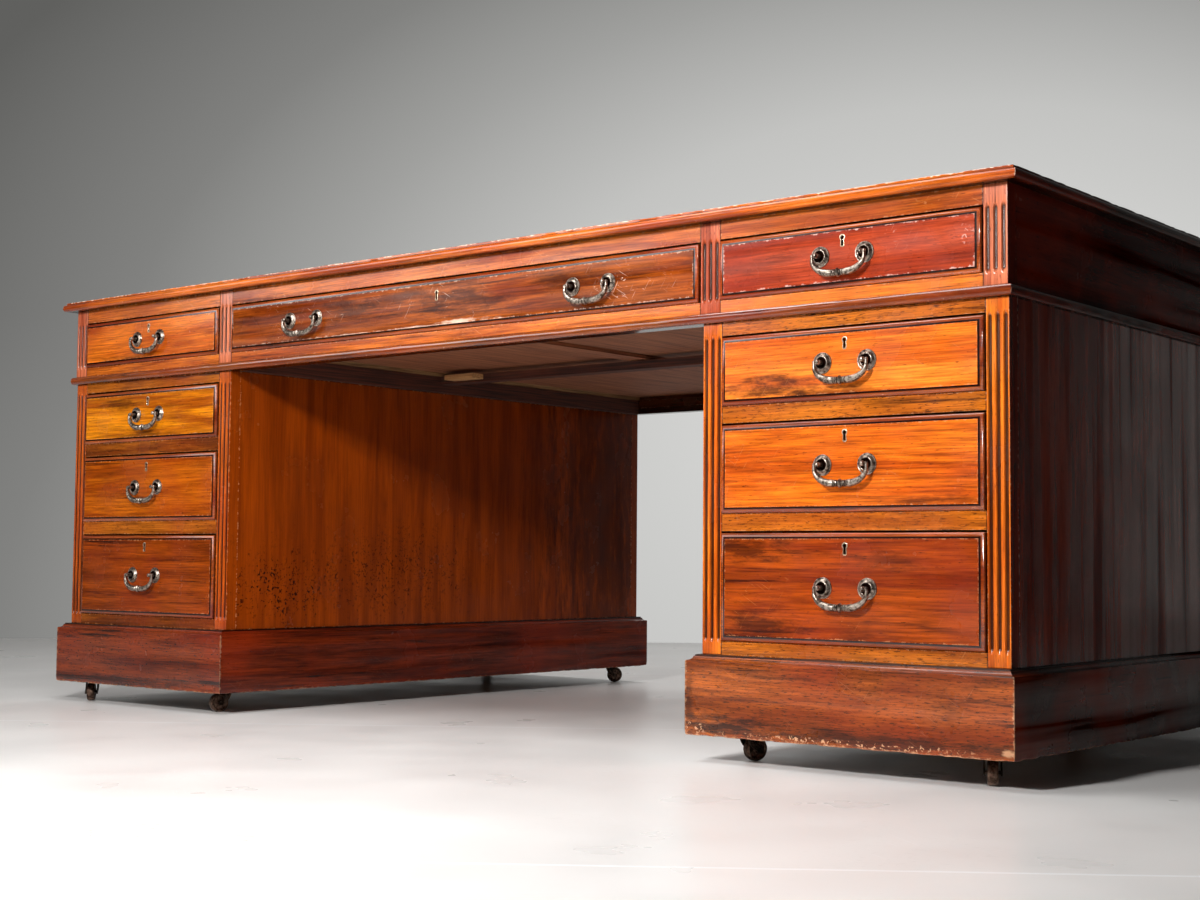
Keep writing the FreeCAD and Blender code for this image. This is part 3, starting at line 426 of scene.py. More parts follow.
    def build(self) -> bpy.types.Material:
        """Builds the material.

        Returns:
            The finished material.
        """
        material, tree = new_material(self.name)
        place = add_node(tree, "ShaderNodeTexCoord").outputs["Object"]
        fibre = grain_marks(tree, self.FIBRE, Detail=4.0, Roughness=0.6)
        colour, rub = self.wear(tree, place, self.wood(tree, place, fibre))
        patch = speckle(tree, place, 80 * MM, Detail=4.0)
        dull = ranged(tree, patch, (0.35, 0.68, self.gloss * 0.75, self.gloss * 1.35))
        height = {"Strength": 0.35, "Distance": 0.6 * MM, "Height": speckle(tree, place, self.RIPPLE)}
        ripple = add_node(tree, "ShaderNodeBump", height).outputs[0]
        height = {"Strength": 0.35, "Distance": 0.15 * MM, "Height": fibre, "Normal": ripple}
        streak = grain_marks(tree, self.SHEEN, Detail=2.0)
        shader = {
            "Base Color": colour,
            "Roughness": maths(tree, "MAXIMUM", rub, dull),
            "IOR": 1.5,
            "Specular IOR Level": ranged(tree, streak, (0.36, 0.64, *self.sheen)),
            "Normal": add_node(tree, "ShaderNodeBump", height).outputs[0],
            "Coat Weight": ranged(tree, streak, (0.36, 0.64, 0.0, self.coat)),
            "Coat Roughness": 0.12,
        }
        shader = add_node(tree, "ShaderNodeBsdfPrincipled", shader)
        add_node(tree, "ShaderNodeOutputMaterial", {"Surface": shader.outputs[0]})
        return material


@dataclass(frozen=True)
class SawnOak:
    """Oak and pine left from the saw and plane inside the desk: dull, dusty and straight-grained."""

    name: str
    dark: str = "#4a3220"
    pale: str = "#8a6a48"
    FIBRE = (120 * MM, 3.0 * MM)

    def build(self) -> bpy.types.Material:
        """Builds the material.

        Returns:
            The finished material.
        """
        material, tree = new_material(self.name)
        fibre = grain_marks(tree, self.FIBRE, Detail=5.0)
        stops = [(0.34, self.dark), (0.62, self.pale)]
        colour = add_node(tree, "ShaderNodeValToRGB", {0: fibre}, stops=stops).outputs[0]
        height = {"Strength": 0.4, "Distance": 0.2 * MM, "Height": fibre}
        shader = {
            "Base Color": colour,
            "Roughness": 0.72,
            "IOR": 1.5,
            "Normal": add_node(tree, "ShaderNodeBump", height).outputs[0],
        }
        shader = add_node(tree, "ShaderNodeBsdfPrincipled", shader)
        add_node(tree, "ShaderNodeOutputMaterial", {"Surface": shader.outputs[0]})
        return material


@dataclass(frozen=True)
class PatinatedMetal:
    """Cast brass or bronze, toned and handled: brown-grey in the hollows, brighter where rubbed."""

    name: str
    bright: str = "#a39585"
    toned: str = "#4c4038"
    roughness: float = 0.36
    PATCH = 5 * MM

    def build(self) -> bpy.types.Material:
        """Builds the material.

        Returns:
            The finished material.
        """
        material, tree = new_material(self.name)
        place = add_node(tree, "ShaderNodeTexCoord").outputs["Object"]
        patch = speckle(tree, place, self.PATCH, Detail=4.0, Roughness=0.65)
        stops = [(0.38, self.toned), (0.6, self.bright)]
        colour = add_node(tree, "ShaderNodeValToRGB", {0: patch}, stops=stops).outputs[0]
        soil = layer(tree, "soil", "Fac")
        colour = blend(tree, soil, colour, GRIME_AND_SHADE)
        dull = ranged(tree, patch, (0.3, 0.7, self.roughness + 0.16, self.roughness - 0.08))
        pits = speckle(tree, place, 1.2 * MM, Detail=2.0)
        height = {"Strength": 0.5, "Distance": 0.15 * MM, "Height": pits}
        shader = {
            "Base Color": colour,
            "Metallic": 1.0,
            "Roughness": maths(tree, "MAXIMUM", dull, maths(tree, "MULTIPLY", soil, 0.8)),
            "Normal": add_node(tree, "ShaderNodeBump", height).outputs[0],
        }
        shader = add_node(tree, "ShaderNodeBsdfPrincipled", shader)
        add_node(tree, "ShaderNodeOutputMaterial", {"Surface": shader.outputs[0]})
        return material


@dataclass(frozen=True)
class TooledLeather:
    """Goat skiver, dyed and waxed, with two gilt lines tooled round it: soft sheen, fine pebble."""

    name: str = "tooled_leather"
    dark: str = "#2c0f08"
    pale: str = "#57221a"
    gilt: str = "#b08a3c"
    LINES = ((22 * MM, 2.2 * MM), (28 * MM, 0.9 * MM))  # distance from the edge, width

    def build(self) -> bpy.types.Material:
        """Builds the material.

        Returns:
            The finished material.
        """
        material, tree = new_material(self.name)
        place = add_node(tree, "ShaderNodeTexCoord").outputs["Object"]
        patch = speckle(tree, place, 180 * MM, Detail=4.0)
        stops = [(0.35, self.dark), (0.7, self.pale)]
        colour = add_node(tree, "ShaderNodeValToRGB", {0: patch}, stops=stops).outputs[0]
        away = vectors(tree, "ABSOLUTE", layer(tree, "board"))
        left = vectors(tree, "SUBTRACT", layer(tree, "half"), away)
        axes = add_node(tree, "ShaderNodeSeparateXYZ", {0: left}).outputs
        inset = maths(tree, "MINIMUM", axes[0], axes[1])
        lines = [
            maths(tree, "COMPARE", inset, distance, width / 2) for distance, width in self.LINES
        ]
        rubbed = ranged(tree, speckle(tree, place, 9 * MM, Detail=3.0), (0.35, 0.6, 0.25, 0.9))
        gilt = maths(tree, "MULTIPLY", maths(tree, "MAXIMUM", *lines), rubbed)
        pebble = {"Vector": place, "Scale": 1 / (1.6 * MM)}
        pebble = add_node(tree, "ShaderNodeTexVoronoi", pebble).outputs["Distance"]
        height = {"Strength": 0.35, "Distance": 0.15 * MM, "Height": pebble}
        shader = {
            "Base Color": blend(tree, gilt, colour, self.gilt),
            "Metallic": gilt,
            "Roughness": 0.46,
            "IOR": 1.5,
            "Normal": add_node(tree, "ShaderNodeBump", height).outputs[0],
        }
        shader = add_node(tree, "ShaderNodeBsdfPrincipled", shader)
        add_node(tree, "ShaderNodeOutputMaterial", {"Surface": shader.outputs[0]})
        return material


SLAB = {"joints": 0.0, "rub_width": 1.0 * MM}  # drawer fronts: no joint at their ends


class Finishes:
    """Every finish on the desk, built once and handed out by name."""

    SPECS = (
        PolishedMahogany(
            "top_mahogany",
            rubbed=0.75,
            rub_width=1.6 * MM,
            knocks=0.3,
        ),
        PolishedMahogany(
            "nosing_mahogany",
            heart="#8a3608",
            pale="#cc661a",
            worn="#f0cdb4",
            clouds=0.6,
            rubbed=0.95,
            rub_width=2.0 * MM,
            gloss=0.13,
            sheen=(0.3, 0.7),
        ),
        # painted shade: a near-black copy of the nosing's finish for the moulded edges' runs along the ends,
        # which face away from the lamps; the waist's end runs take it too
        PolishedMahogany(
            "nosing_end_mahogany",
            heart="#1a0803",
            pale="#301206",
            worn="#7a5a48",
            gloss=0.2,
            sheen=(0.05, 0.2),
            coat=0.05,
        ),
        PolishedMahogany(
            "right_stile_mahogany",
            heart="#be540f",
            pale="#f08020",
            streaks=0.4,
            redness=0.35,
        ),
        # darker than the right pedestal's copy: partly the wood's own tone, partly painted shade for the left
        # pedestal lying further from the lamps
        PolishedMahogany(
            "left_stile_mahogany", heart="#8a360a", pale="#c45a14", streaks=0.4, redness=0.45
        ),
        PolishedMahogany(
            "right_rail_mahogany",
            heart="#8c420b",
            pale="#c26815",
            pores=0.75,
            streaks=0.65,
        ),
        # darker than the right pedestal's copy: partly the wood's own tone, partly painted shade for the left
        # pedestal lying further from the lamps
        PolishedMahogany(
            "left_rail_mahogany", heart="#6c300a", pale="#a85a14", streaks=0.6, pores=0.6
        ),
        PolishedMahogany(
            "frieze_stile_mahogany",
            heart="#9c4626",
            pale="#d87850",
            knocks=0.5,
            streaks=0.4,
        ),
        PolishedMahogany(
            "frieze_rail_mahogany",
            heart="#94400c",
            pale="#dc7420",
            clouds=0.5,
            streaks=0.65,
            knocks=0.7,
        ),
        PolishedMahogany(
            "inner_side_mahogany",
            heart="#7c2f03",
            pale="#983e04",
            deep="#240a03",
            blush="#702604",
            clouds=0.3,
            streaks=0.2,
            pores=0.3,
            fibres=0.16,
            variety=0.0,
            redness=0.2,
            knocks=0.0,
            sheen=(0.35, 0.45),
            coat=0.1,
            stains_and_shade=(
                StainOrShade(-160, -480, 60, 170, 0.95, flecked=True),
                StainOrShade(-130, -200, 90, 260, 0.7, flecked=True),
                # painted shade: a dark patch over the back of the side, deep in the kneehole
                StainOrShade(0, 480, 700, 190, 0.6),
                StainOrShade(60, 250, 300, 60, 0.25),
            ),
        ),
        PolishedMahogany(
            "outer_side_mahogany",
            heart="#45120a",
            pale="#6a220e",
            deep="#140402",
            worn="#6a4a38",
            redness=0.5,
            blush="#4c1004",
            clouds=0.4,
            streaks=0.35,
            fibres=0.25,
            gloss=0.15,
            sheen=(0.05, 0.5),
            coat=0.1,
        ),
        PolishedMahogany(
            "frieze_end_mahogany",
            heart="#2c0702",
            pale="#420f05",
            deep="#0d0201",
            worn="#6a4a38",
            clouds=0.6,
            sheen=(0.0, 0.06),
            coat=0.0,
        ),
        PolishedMahogany(
            "right_plinth_mahogany",
            heart="#75330c",
            pale="#ac561e",
            deep="#1e0e07",
            worn="#dca47a",
            clouds=0.65,
            streaks=0.7,
            pores=0.8,
            rubbed=0.9,
            rub_width=2.8 * MM,
            knocks=0.2,
            gloss=0.3,
            stains_and_shade=(
                StainOrShade(-170, -40, 90, 15, 0.9),
                StainOrShade(60, -44, 150, 10, 0.7),
                StainOrShade(235, -42, 50, 12, 0.7),
                StainOrShade(-100, 30, 70, 4, 0.6),
                StainOrShade(-245, -10, 9, 45, 0.6),
                StainOrShade(-240, -44, 24, 9, 0.9, pale=True, flecked=True),
                StainOrShade(242, -46, 8, 6, 0.7, pale=True),
                StainOrShade(0, -50, 240, 4, 0.9, pale=True, flecked=True),
            ),
        ),
        # darker than the right plinth's copy: partly the wood's own tone, partly painted shade for the left
        # pedestal lying further from the lamps
        PolishedMahogany(
            "left_plinth_mahogany",
            heart="#4a180a",
            pale="#783010",
            deep="#160805",
            worn="#c08458",
            clouds=0.65,
            streaks=0.7,
            pores=0.7,
            rubbed=0.8,
            rub_width=2.6 * MM,
            knocks=0.15,
            stains_and_shade=(StainOrShade(0, -44, 220, 9, 0.6),),
        ),
        # painted shade: a near-black copy of the right plinth's finish for its runs along the ends, which face
        # away from the lamps
        PolishedMahogany(
            "right_plinth_side_mahogany",
            heart="#1e0a05",
            pale="#38160c",
            deep="#080302",
            worn="#a87858",
            rubbed=0.7,
            rub_width=2.2 * MM,
            gloss=0.3,
            sheen=(0.0, 0.2),
            coat=0.1,
            knocks=0.1,
        ),
        PolishedMahogany(
            "left_plinth_side_mahogany",
            heart="#3e1208",
            pale="#6c240a",
            deep="#140602",
            worn="#a87858",
            streaks=0.65,
            rubbed=0.8,
            rub_width=2.2 * MM,
            sheen=(0.1, 0.4),
            knocks=0.15,
        ),
        PolishedMahogany(
            "waist_mahogany",
            heart="#54210a",
            pale="#8a4214",
            deep="#160603",
            worn="#a87c60",
            clouds=0.6,
            rubbed=0.45,
            gloss=0.14,
            sheen=(0.45, 0.9),
        ),
        # darker copy of the fronts' wood for their moulded edges: partly grime in the mouldings, partly
        # painted shade on slopes that face away from the lamps
        PolishedMahogany(
            "moulding_mahogany",
            heart="#6c2609",
            pale="#a04a14",
            deep="#1c0703",
            worn="#d89060",
            clouds=0.5,
            rubbed=0.4,
            gloss=0.16,
            sheen=(0.4, 0.8),
        ),
        PolishedMahogany(
            "right_top_front",
            heart="#c8580f",
            pale="#f28426",
            clouds=0.2,
            streaks=0.25,
            redness=0.25,
            stains_and_shade=(StainOrShade(-110, -30, 80, 18, 0.8), StainOrShade(-20, -40, 90, 9, 0.6)),
            **SLAB,
        ),
        PolishedMahogany(
            "right_middle_front",
            heart="#ac460a",
            pale="#d86812",
            clouds=0.2,
            streaks=0.42,
            redness=0.1,
            fibres=0.5,
            stains_and_shade=(StainOrShade(130, -48, 60, 7, 0.6),),
            **SLAB,
        ),
        PolishedMahogany(
            "right_bottom_front",
            heart="#6e2305",
            pale="#a64409",
            clouds=0.5,
            streaks=0.65,
            redness=0.3,
            stains_and_shade=(StainOrShade(-150, 52, 60, 22), StainOrShade(-140, -50, 80, 20), StainOrShade(60, 40, 60, 14, 0.5)),
            **SLAB,
        ),
        PolishedMahogany(
            "left_top_front",
            heart="#a04c06",
            pale="#ea8a0a",
            streaks=0.45,
            redness=0.0,
            stains_and_shade=(StainOrShade(-90, 24, 70, 10, 0.6), StainOrShade(0, -38, 90, 7, 0.5)),
            **SLAB,
        ),
        PolishedMahogany(
            "left_middle_front",
            heart="#903d04",
            pale="#c0600a",
            streaks=0.55,
            clouds=0.5,
            **SLAB,
        ),
        PolishedMahogany(
            "left_bottom_front",
            heart="#662504",
            pale="#903d08",
            streaks=0.7,
            clouds=0.65,
            **SLAB,
        ),
        PolishedMahogany(
            "left_frieze_front",
            heart="#a84808",
            pale="#d86e14",
            streaks=0.45,
            stains_and_shade=(StainOrShade(-60, -34, 60, 8, 0.6),),
            **SLAB,
        ),
        PolishedMahogany(
            "centre_frieze_front",
            heart="#642809",
            pale="#984a15",
            worn="#e8c8b0",
            clouds=0.75,
            streaks=0.7,
            redness=0.15,
            knocks=0.7,
            gloss=0.28,
            stains_and_shade=(
                StainOrShade(60, 0, 90, 22),
                StainOrShade(-210, 10, 60, 20, 0.7),
                StainOrShade(250, 18, 50, 12, 0.6),
                StainOrShade(-90, 22, 90, 14, 0.6),
                StainOrShade(-20, -35, 200, 3, 0.85, pale=True),
                StainOrShade(60, -31, 60, 3, 0.7, pale=True),
            ),
            sheen=(0.0, 0.25),
            coat=0.08,
            **SLAB,
        ),
        PolishedMahogany(
            "right_frieze_front",
            heart="#80240c",
            pale="#b44420",
            worn="#ecc0b0",
            clouds=0.4,
            streaks=0.35,
            redness=0.5,
            blush="#821e06",
            knocks=0.35,
            gloss=0.26,
            stains_and_shade=(
                StainOrShade(185, 16, 7, 16, 0.55, pale=True, flecked=True),
                StainOrShade(-120, 0, 120, 14, 0.35),
            ),
            sheen=(0.1, 0.35),
            coat=0.1,
            rubbed=0.6,
            **SLAB,
        ),
        SawnOak("drawer_oak", dark="#6a4c2e", pale="#a98559"),
        SawnOak("frame_oak", dark="#24100a", pale="#5c2c1a"),
        SawnOak("packing_pine", dark="#a87848", pale="#d8aa70"),
        SawnOak("drawer_bottom_pine", dark="#5c3018", pale="#a06440"),
        PatinatedMetal("handle_bronze", bright="#b8aa9c", toned="#463a32"),
        PatinatedMetal("keyhole_brass", bright="#ead8bc", toned="#a48a6c", roughness=0.3),
        PatinatedMetal("hinge_brass", bright="#b89458", toned="#5c4424", roughness=0.34),
        PatinatedMetal("lock_steel", bright="#6c655e", toned="#3a332e", roughness=0.45),
        PatinatedMetal("caster_iron", bright="#5a4c42", toned="#1e1612", roughness=0.5),
        PatinatedMetal("wheel_brass", bright="#7c6456", toned="#3a2a22", roughness=0.46),
        TooledLeather(),
    )

    def __init__(self) -> None:
        """Keeps the finishes by name."""
        self.specs = {spec.name: spec for spec in self.SPECS}
        self.made: dict[str, bpy.types.Material] = {}

    def get(self, name: str) -> bpy.types.Material:
        """Gives a finish, building it the first time.

        Args:
            name: Name of the finish.

        Returns:
            Its material.
        """
        if name not in self.made:
            self.made[name] = self.specs[name].build()
        return self.made[name]


# ---------------------------------------------------------------- shaping with bmesh


def block(low: Vector, high: Vector) -> BMesh:
    """Squares up a block between two corners.

    Args:
        low: Lowest corner.
        high: Highest corner.

    Returns:
        A bmesh of the block.
    """
    bm = bmesh.new()
    size = Matrix.Diagonal((*(high - low), 1.0))
    bmesh.ops.create_cube(bm, size=1.0, matrix=Matrix.Translation((low + high) / 2) @ size)
    return bm


def ease(bm: BMesh, edges: Iterable[bmesh.types.BMEdge], width: float, segments: int = 2) -> None:
    """Rounds edges over."""
    bmesh.ops.bevel(
        bm,
        geom=list(edges),
        offset=width,
        segments=segments,
        profile=0.5,
        affect="EDGES",
        material=-1,
    )


def plank(low: Vector, high: Vector, arris: float = 0.5 * MM) -> BMesh:
    """Planes up a plank with eased arrises.

    Args:
        low: Lowest corner.
        high: Highest corner.
        arris: How far the arrises are eased.

    Returns:
        A bmesh of the plank.
    """
    bm = block(low, high)
    ease(bm, bm.edges[:], arris)
    return bm


def extruded_ring(bm: BMesh, edges: list[bmesh.types.BMEdge]) -> tuple[list, list]:
    """Draws a new loop out of a loop of edges.

    Args:
        bm: Mesh being worked.
        edges: The loop to draw on from.

    Returns:
        The new vertices and the new edges.
    """
    made = bmesh.ops.extrude_edge_only(bm, edges=edges)["geom"]
    verts = [part for part in made if isinstance(part, bmesh.types.BMVert)]
    loop = [part for part in made if isinstance(part, bmesh.types.BMEdge)]
    return verts, loop


def mitred_loft(
    half_x: float, half_y: float, profile: Sequence[tuple[float, float]], hollow: bool
) -> BMesh:
    """Runs a moulding round a rectangle with mitred corners.

    Args:
        half_x: Half the rectangle's width at inset 0.
        half_y: Half its depth at inset 0.
        profile: Points of the moulding as (inset, height), in order.
        hollow: True closes the last point on the first, False caps both ends.

    Returns:
        A bmesh of the moulding, centred on the Z axis.
    """
    bm = bmesh.new()
    inset, height = profile[0]
    bmesh.ops.create_grid(bm, x_segments=1, y_segments=1, size=1.0)
    bmesh.ops.scale(bm, vec=(half_x - inset, half_y - inset, 1.0), verts=bm.verts[:])
    bmesh.ops.translate(bm, vec=(0, 0, height), verts=bm.verts[:])
    if hollow:
        bmesh.ops.delete(bm, geom=bm.faces[:], context="FACES_ONLY")
    first = bm.edges[:]
    edges = first
    for new_inset, new_height in profile[1:]:
        verts, edges = extruded_ring(bm, edges)
        grow = ((half_x - new_inset) / (half_x - inset), (half_y - new_inset) / (half_y - inset))
        bmesh.ops.scale(bm, vec=(*grow, 1.0), verts=verts)
        bmesh.ops.translate(bm, vec=(0, 0, new_height - height), verts=verts)
        inset, height = new_inset, new_height
    if hollow:
        bmesh.ops.bridge_loops(bm, edges=first + edges)
    else:
        bmesh.ops.contextual_create(bm, geom=edges)
    bmesh.ops.recalc_face_normals(bm, faces=bm.faces[:])
    return bm


def cut_lengths(bm: BMesh, spacing: float, axes: Iterable[int] = (0, 1)) -> None:
    """Cuts long pieces across at even spacing, so that their edges can be dented.

    Args:
        bm: Mesh to cut.
        spacing: Distance between cuts.
        axes: Axes along which to space the cuts.
    """
    for axis in axes:
        places = [vert.co[axis] for vert in bm.verts]
        low, high = min(places), max(places)
        normal = Vector((0, 0, 0))
        normal[axis] = 1
        count = max(1, round((high - low) / spacing))
        for step in range(1, count):
            point = Vector((0, 0, 0))
            point[axis] = low + (high - low) * step / count
            geom = bm.verts[:] + bm.edges[:] + bm.faces[:]
            bmesh.ops.bisect_plane(bm, geom=geom, plane_co=point, plane_no=normal)


def dent(
    verts: Iterable[bmesh.types.BMVert], depth: float, size: float, centre: Vector, seed: float
) -> None:
    """Knocks small dents into vertices, always towards the inside of the piece.

    Args:
        verts: Vertices that may be dented.
        depth: Deepest dent.
        size: Rough length of a dent.
        centre: Not used; each dent goes in along the vertex's normal.
        seed: Shifts the pattern.
    """
    for vert in verts:
        knock = noise.noise(vert.co / size + Vector((seed, seed, seed)))
        if knock > 0:
            vert.co -= vert.normal * min(1.0, knock * 2) * depth


def turned(profile: Sequence[tuple[float, float]], steps: int = 24) -> BMesh:
    """Turns a profile round the Z axis.

    Args:
        profile: Points as (height, radius); a radius of 0 closes an end.
        steps: Number of steps round.

    Returns:
        A bmesh of the turning.
    """
    bm = bmesh.new()
    verts = [bm.verts.new((radius, 0, height)) for height, radius in profile]
    edges = [bm.edges.new(pair) for pair in zip(verts, verts[1:])]
    bmesh.ops.spin(
        bm,
        geom=verts + edges,
        axis=(0, 0, 1),
        cent=(0, 0, 0),
        angle=2 * math.pi,
        steps=steps,
        use_merge=True,
    )
    bmesh.ops.remove_doubles(bm, verts=bm.verts[:], dist=1e-7)
    bmesh.ops.recalc_face_normals(bm, faces=bm.faces[:])
    return bm


def swept(
    stations: Sequence[Matrix], steps: int = 16, dirt_and_shade: Sequence[float] | None = None
) -> BMesh:
    """Draws a round section along stations.

    Args:
        stations: One matrix per section, which places a unit circle in its own YZ plane.
        steps: Sides of the section.
        dirt_and_shade: Share of grime at each station.

    Returns:
        A bmesh of the sweep with both ends closed.
    """
    bm = bmesh.new()
    soil = bm.verts.layers.float.new("soil")
    dirt_and_shade = dirt_and_shade or [0.0] * len(stations)
    upright = Matrix.Rotation(math.pi / 2, 4, "Y")
    bmesh.ops.create_circle(bm, segments=steps, radius=1.0, matrix=stations[0] @ upright)
    for vert in bm.verts:
        vert[soil] = dirt_and_shade[0]
    edges = bm.edges[:]
    bmesh.ops.contextual_create(bm, geom=edges)
    for before, after, share in zip(stations, stations[1:], dirt_and_shade[1:]):
        verts, edges = extruded_ring(bm, edges)
        bmesh.ops.transform(bm, matrix=after @ before.inverted(), verts=verts)
        for vert in verts:
            vert[soil] = share
    bmesh.ops.contextual_create(bm, geom=edges)
    bmesh.ops.recalc_face_normals(bm, faces=bm.faces[:])
    return bm


def outline(points: Sequence[tuple[float, float]], y: float, thick: float) -> BMesh:
    """Cuts a plate out to an outline.

    Args:
        points: Corners as (x, z), in order.
        y: Place of the plate's first face.
        thick: Thickness along Y.

    Returns:
        A bmesh of the plate.
    """
    bm = bmesh.new()
    verts = [bm.verts.new((x, y, z)) for x, z in points]
    bmesh.ops.contextual_create(bm, geom=verts)
    made = bmesh.ops.extrude_face_region(bm, geom=bm.faces[:])["geom"]
    moved = [part for part in made if isinstance(part, bmesh.types.BMVert)]
    bmesh.ops.translate(bm, vec=(0, thick, 0), verts=moved)
    bmesh.ops.recalc_face_normals(bm, faces=bm.faces[:])
    return bm


def keyhole_points(grow: float, steps: int = 20) -> list[tuple[float, float]]:
    """Outline of a keyhole, or of a liner round it.

    Args:
        grow: How far the outline stands outside the keyhole.
        steps: Steps round the head.

    Returns:
        Points as (x, z) about the middle of the head.
    """
    head, slot, foot = 2.7 * MM + grow, 11.5 * MM + grow, 1.9 * MM + grow * 0.8
    mouth = math.asin(min(0.95, foot * 0.8 / head))
    points = []
    for step in range(steps + 1):
        angle = mouth - math.pi / 2 + (2 * math.pi - 2 * mouth) * step / steps
        points.append((head * math.cos(angle), head * math.sin(angle)))
    toe = min(foot, slot) * 0.5
    points += [(-foot, toe - slot), (-foot + toe, -slot), (foot - toe, -slot), (foot, toe - slot)]
    return points


# ---------------------------------------------------------------- gathering pieces


class Piece:
    """One piece of the dressed desk: shapes gathered into one mesh that rides on a body."""

    def __init__(self, name: str, body: str, slot: str, *finishes: str) -> None:
        """Starts an empty piece.

        Args:
            name: Name of the piece.
            body: Body of the frame that it rides on.
            slot: Material slot of the record that it stands for; not used.
            *finishes: Names of its finishes; faces are in the first unless told otherwise.
        """
        self.name, self.body, self.slot, self.finishes = name, body, slot, finishes
        self.mesh = bpy.data.meshes.new(name)
        self.scrap = bpy.data.meshes.new("scrap")
        self.bm = bmesh.new()
        self.pick = random.Random(name)

    def add(self, shape: BMesh, place: Matrix | None = None) -> None:
        """Adds a shape as it is.

        Args:
            shape: Finished shape; it is used up.
            place: Matrix that moves it first.
        """
        if place is not None:
            bmesh.ops.transform(shape, matrix=place, verts=shape.verts[:])
            if place.determinant() < 0:
                bmesh.ops.reverse_faces(shape, faces=shape.faces[:])
        shape.to_mesh(self.scrap)
        shape.free()
        self.bm.from_mesh(self.scrap)

    def lay_grain(
        self, shape: BMesh, faces: Iterable[bmesh.types.BMFace], span: Box, grain: Grain
    ) -> None:
        """Writes on faces where they lie on their board, and which log the board is from.

        Args:
            shape: Shape that the faces belong to.
            faces: Faces of one board.
            span: Lowest and highest corner of the board as it was planed up.
            grain: Way the fibres run.
        """
        layers = shape.loops.layers.float_vector
        board, half, log = (
            layers.get(name) or layers.new(name) for name in ("board", "half", "log")
        )
        middle, reach = (span[0] + span[1]) / 2, (span[1] - span[0]) / 2
        size = [reach[axis] for axis in grain.value]
        own_log = [self.pick.uniform(-40, 40) for _ in range(3)]
        for face in faces:
            for loop in face.loops:
                offset = loop.vert.co - middle
                loop[board] = [offset[axis] for axis in grain.value]
                loop[half] = size
                loop[log] = own_log

    def add_board(
        self, shape: BMesh, span: Box, grain: Grain, sides: tuple[int, int] = (0, 0)
    ) -> None:
        """Adds a shape as a board with its own log, so that its grain is its own.

        Args:
            shape: Finished shape; it is used up.
            span: Lowest and highest corner of the board as it was planed up.
            grain: Way the fibres run.
            sides: Numbers of the finishes on its low X side and its high X side.
        """
        self.lay_grain(shape, shape.faces, span, grain)
        for face in shape.faces:
            x = face.calc_center_median().x
            for edge, number in zip((span[0].x, span[1].x), sides):
                if number and abs(x - edge) < 1 * MM:
                    face.material_index = number
        self.add(shape)

    def add_mitred(self, shape: BMesh, span: Box, width: float) -> None:
        """Adds boards mitred round a rectangle; those along Y take the second finish.

        Args:
            shape: Finished shape; it is used up.
            span: Lowest and highest corner of the rectangle.
            width: Width of the boards; faces further in are one board in the third finish.
        """
        low, high = span
        middle, reach = (low + high) / 2, (high - low) / 2
        runs: dict[tuple[int, int], list[bmesh.types.BMFace]] = {}
        for face in shape.faces:
            place = face.calc_center_median() - middle
            inset_x, inset_y = reach.x - abs(place.x), reach.y - abs(place.y)
            run = (0, 0)
            if inset_x < min(inset_y, width):
                run = (int(math.copysign(1, place.x)), 0)
            elif inset_y < width:
                run = (0, int(math.copysign(1, place.y)))
            runs.setdefault(run, []).append(face)
        height = (low.z, high.z)
        for (along_x, along_y), faces in runs.items():
            board, grain, number = span, Grain.ALONG_X, 2
            if along_x:
                x = middle.x + along_x * reach.x
                board = corners((x, x - along_x * width), (low.y, high.y), height)
                grain, number = Grain.ALONG_Y, 1
            elif along_y:
                y = middle.y + along_y * reach.y
                board = corners((low.x, high.x), (y, y - along_y * width), height)
                number = 0
            for face in faces:
                face.material_index = number
            self.lay_grain(shape, faces, board, grain)
        self.add(shape)

    def add_planks(
        self,
        spans: Iterable[Box],
        grain: Grain,
        arris: float = 0.5 * MM,
        sides: tuple[int, int] = (0, 0),
    ) -> None:
        """Adds plain planks.

        Args:
            spans: Corners of each plank.
            grain: Way the fibres run in all of them.
            arris: How far the arrises are eased.
            sides: Numbers of the finishes on their low X side and their high X side.
        """
        for low, high in spans:
            self.add_board(plank(low, high, arris), (low, high), grain, sides)

    def finish_off(self, finishes: Finishes, *stands_for: str) -> bpy.types.Object:
        """Turns the gathered shapes into an object on its body.

        Args:
            finishes: The finishes.
            *stands_for: CAD nodes that the piece replaces.

        Returns:
            The object.
        """
        self.bm.to_mesh(self.mesh)
        self.bm.free()
        bpy.data.meshes.remove(self.scrap)
        self.mesh.polygons.foreach_set("use_smooth", [True] * len(self.mesh.polygons))
        self.mesh.set_sharp_from_angle(angle=SMOOTH_BELOW)
        for name in self.finishes:
            self.mesh.materials.append(finishes.get(name))
        piece = bpy.data.objects.new(self.name, self.mesh)
        bpy.context.scene.collection.objects.link(piece)
        even = piece.modifiers.new("even_normals", "WEIGHTED_NORMAL")
        even.keep_sharp = True
        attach(piece, self.body)
        if stands_for:
            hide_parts(*stands_for)
        LOG.info("%s: %d faces on %s", self.name, len(self.mesh.polygons), self.body)
        return piece


def soiled_and_shaded(bm: BMesh, dirt_and_shade: Callable[[Vector], float]) -> None:
    """Writes the share of grime and painted shade at each vertex.

    Args:
        bm: Shape that gets the layer.
        dirt_and_shade: Gives the share of grime and painted shade at a place: 1 is full, -1 is an arris
            knocked bare.
    """
    soil = bm.verts.layers.float.new("soil")
    for vert in bm.verts:
        vert[soil] = dirt_and_shade(vert.co)


def corners(x: Sequence[float], y: Sequence[float], z: Sequence[float]) -> Box:
    """Lowest and highest corner of three spans."""
    return (
        Vector((min(x), min(y), min(z))),
        Vector((max(x), max(y), max(z))),
    )


# ---------------------------------------------------------------- top


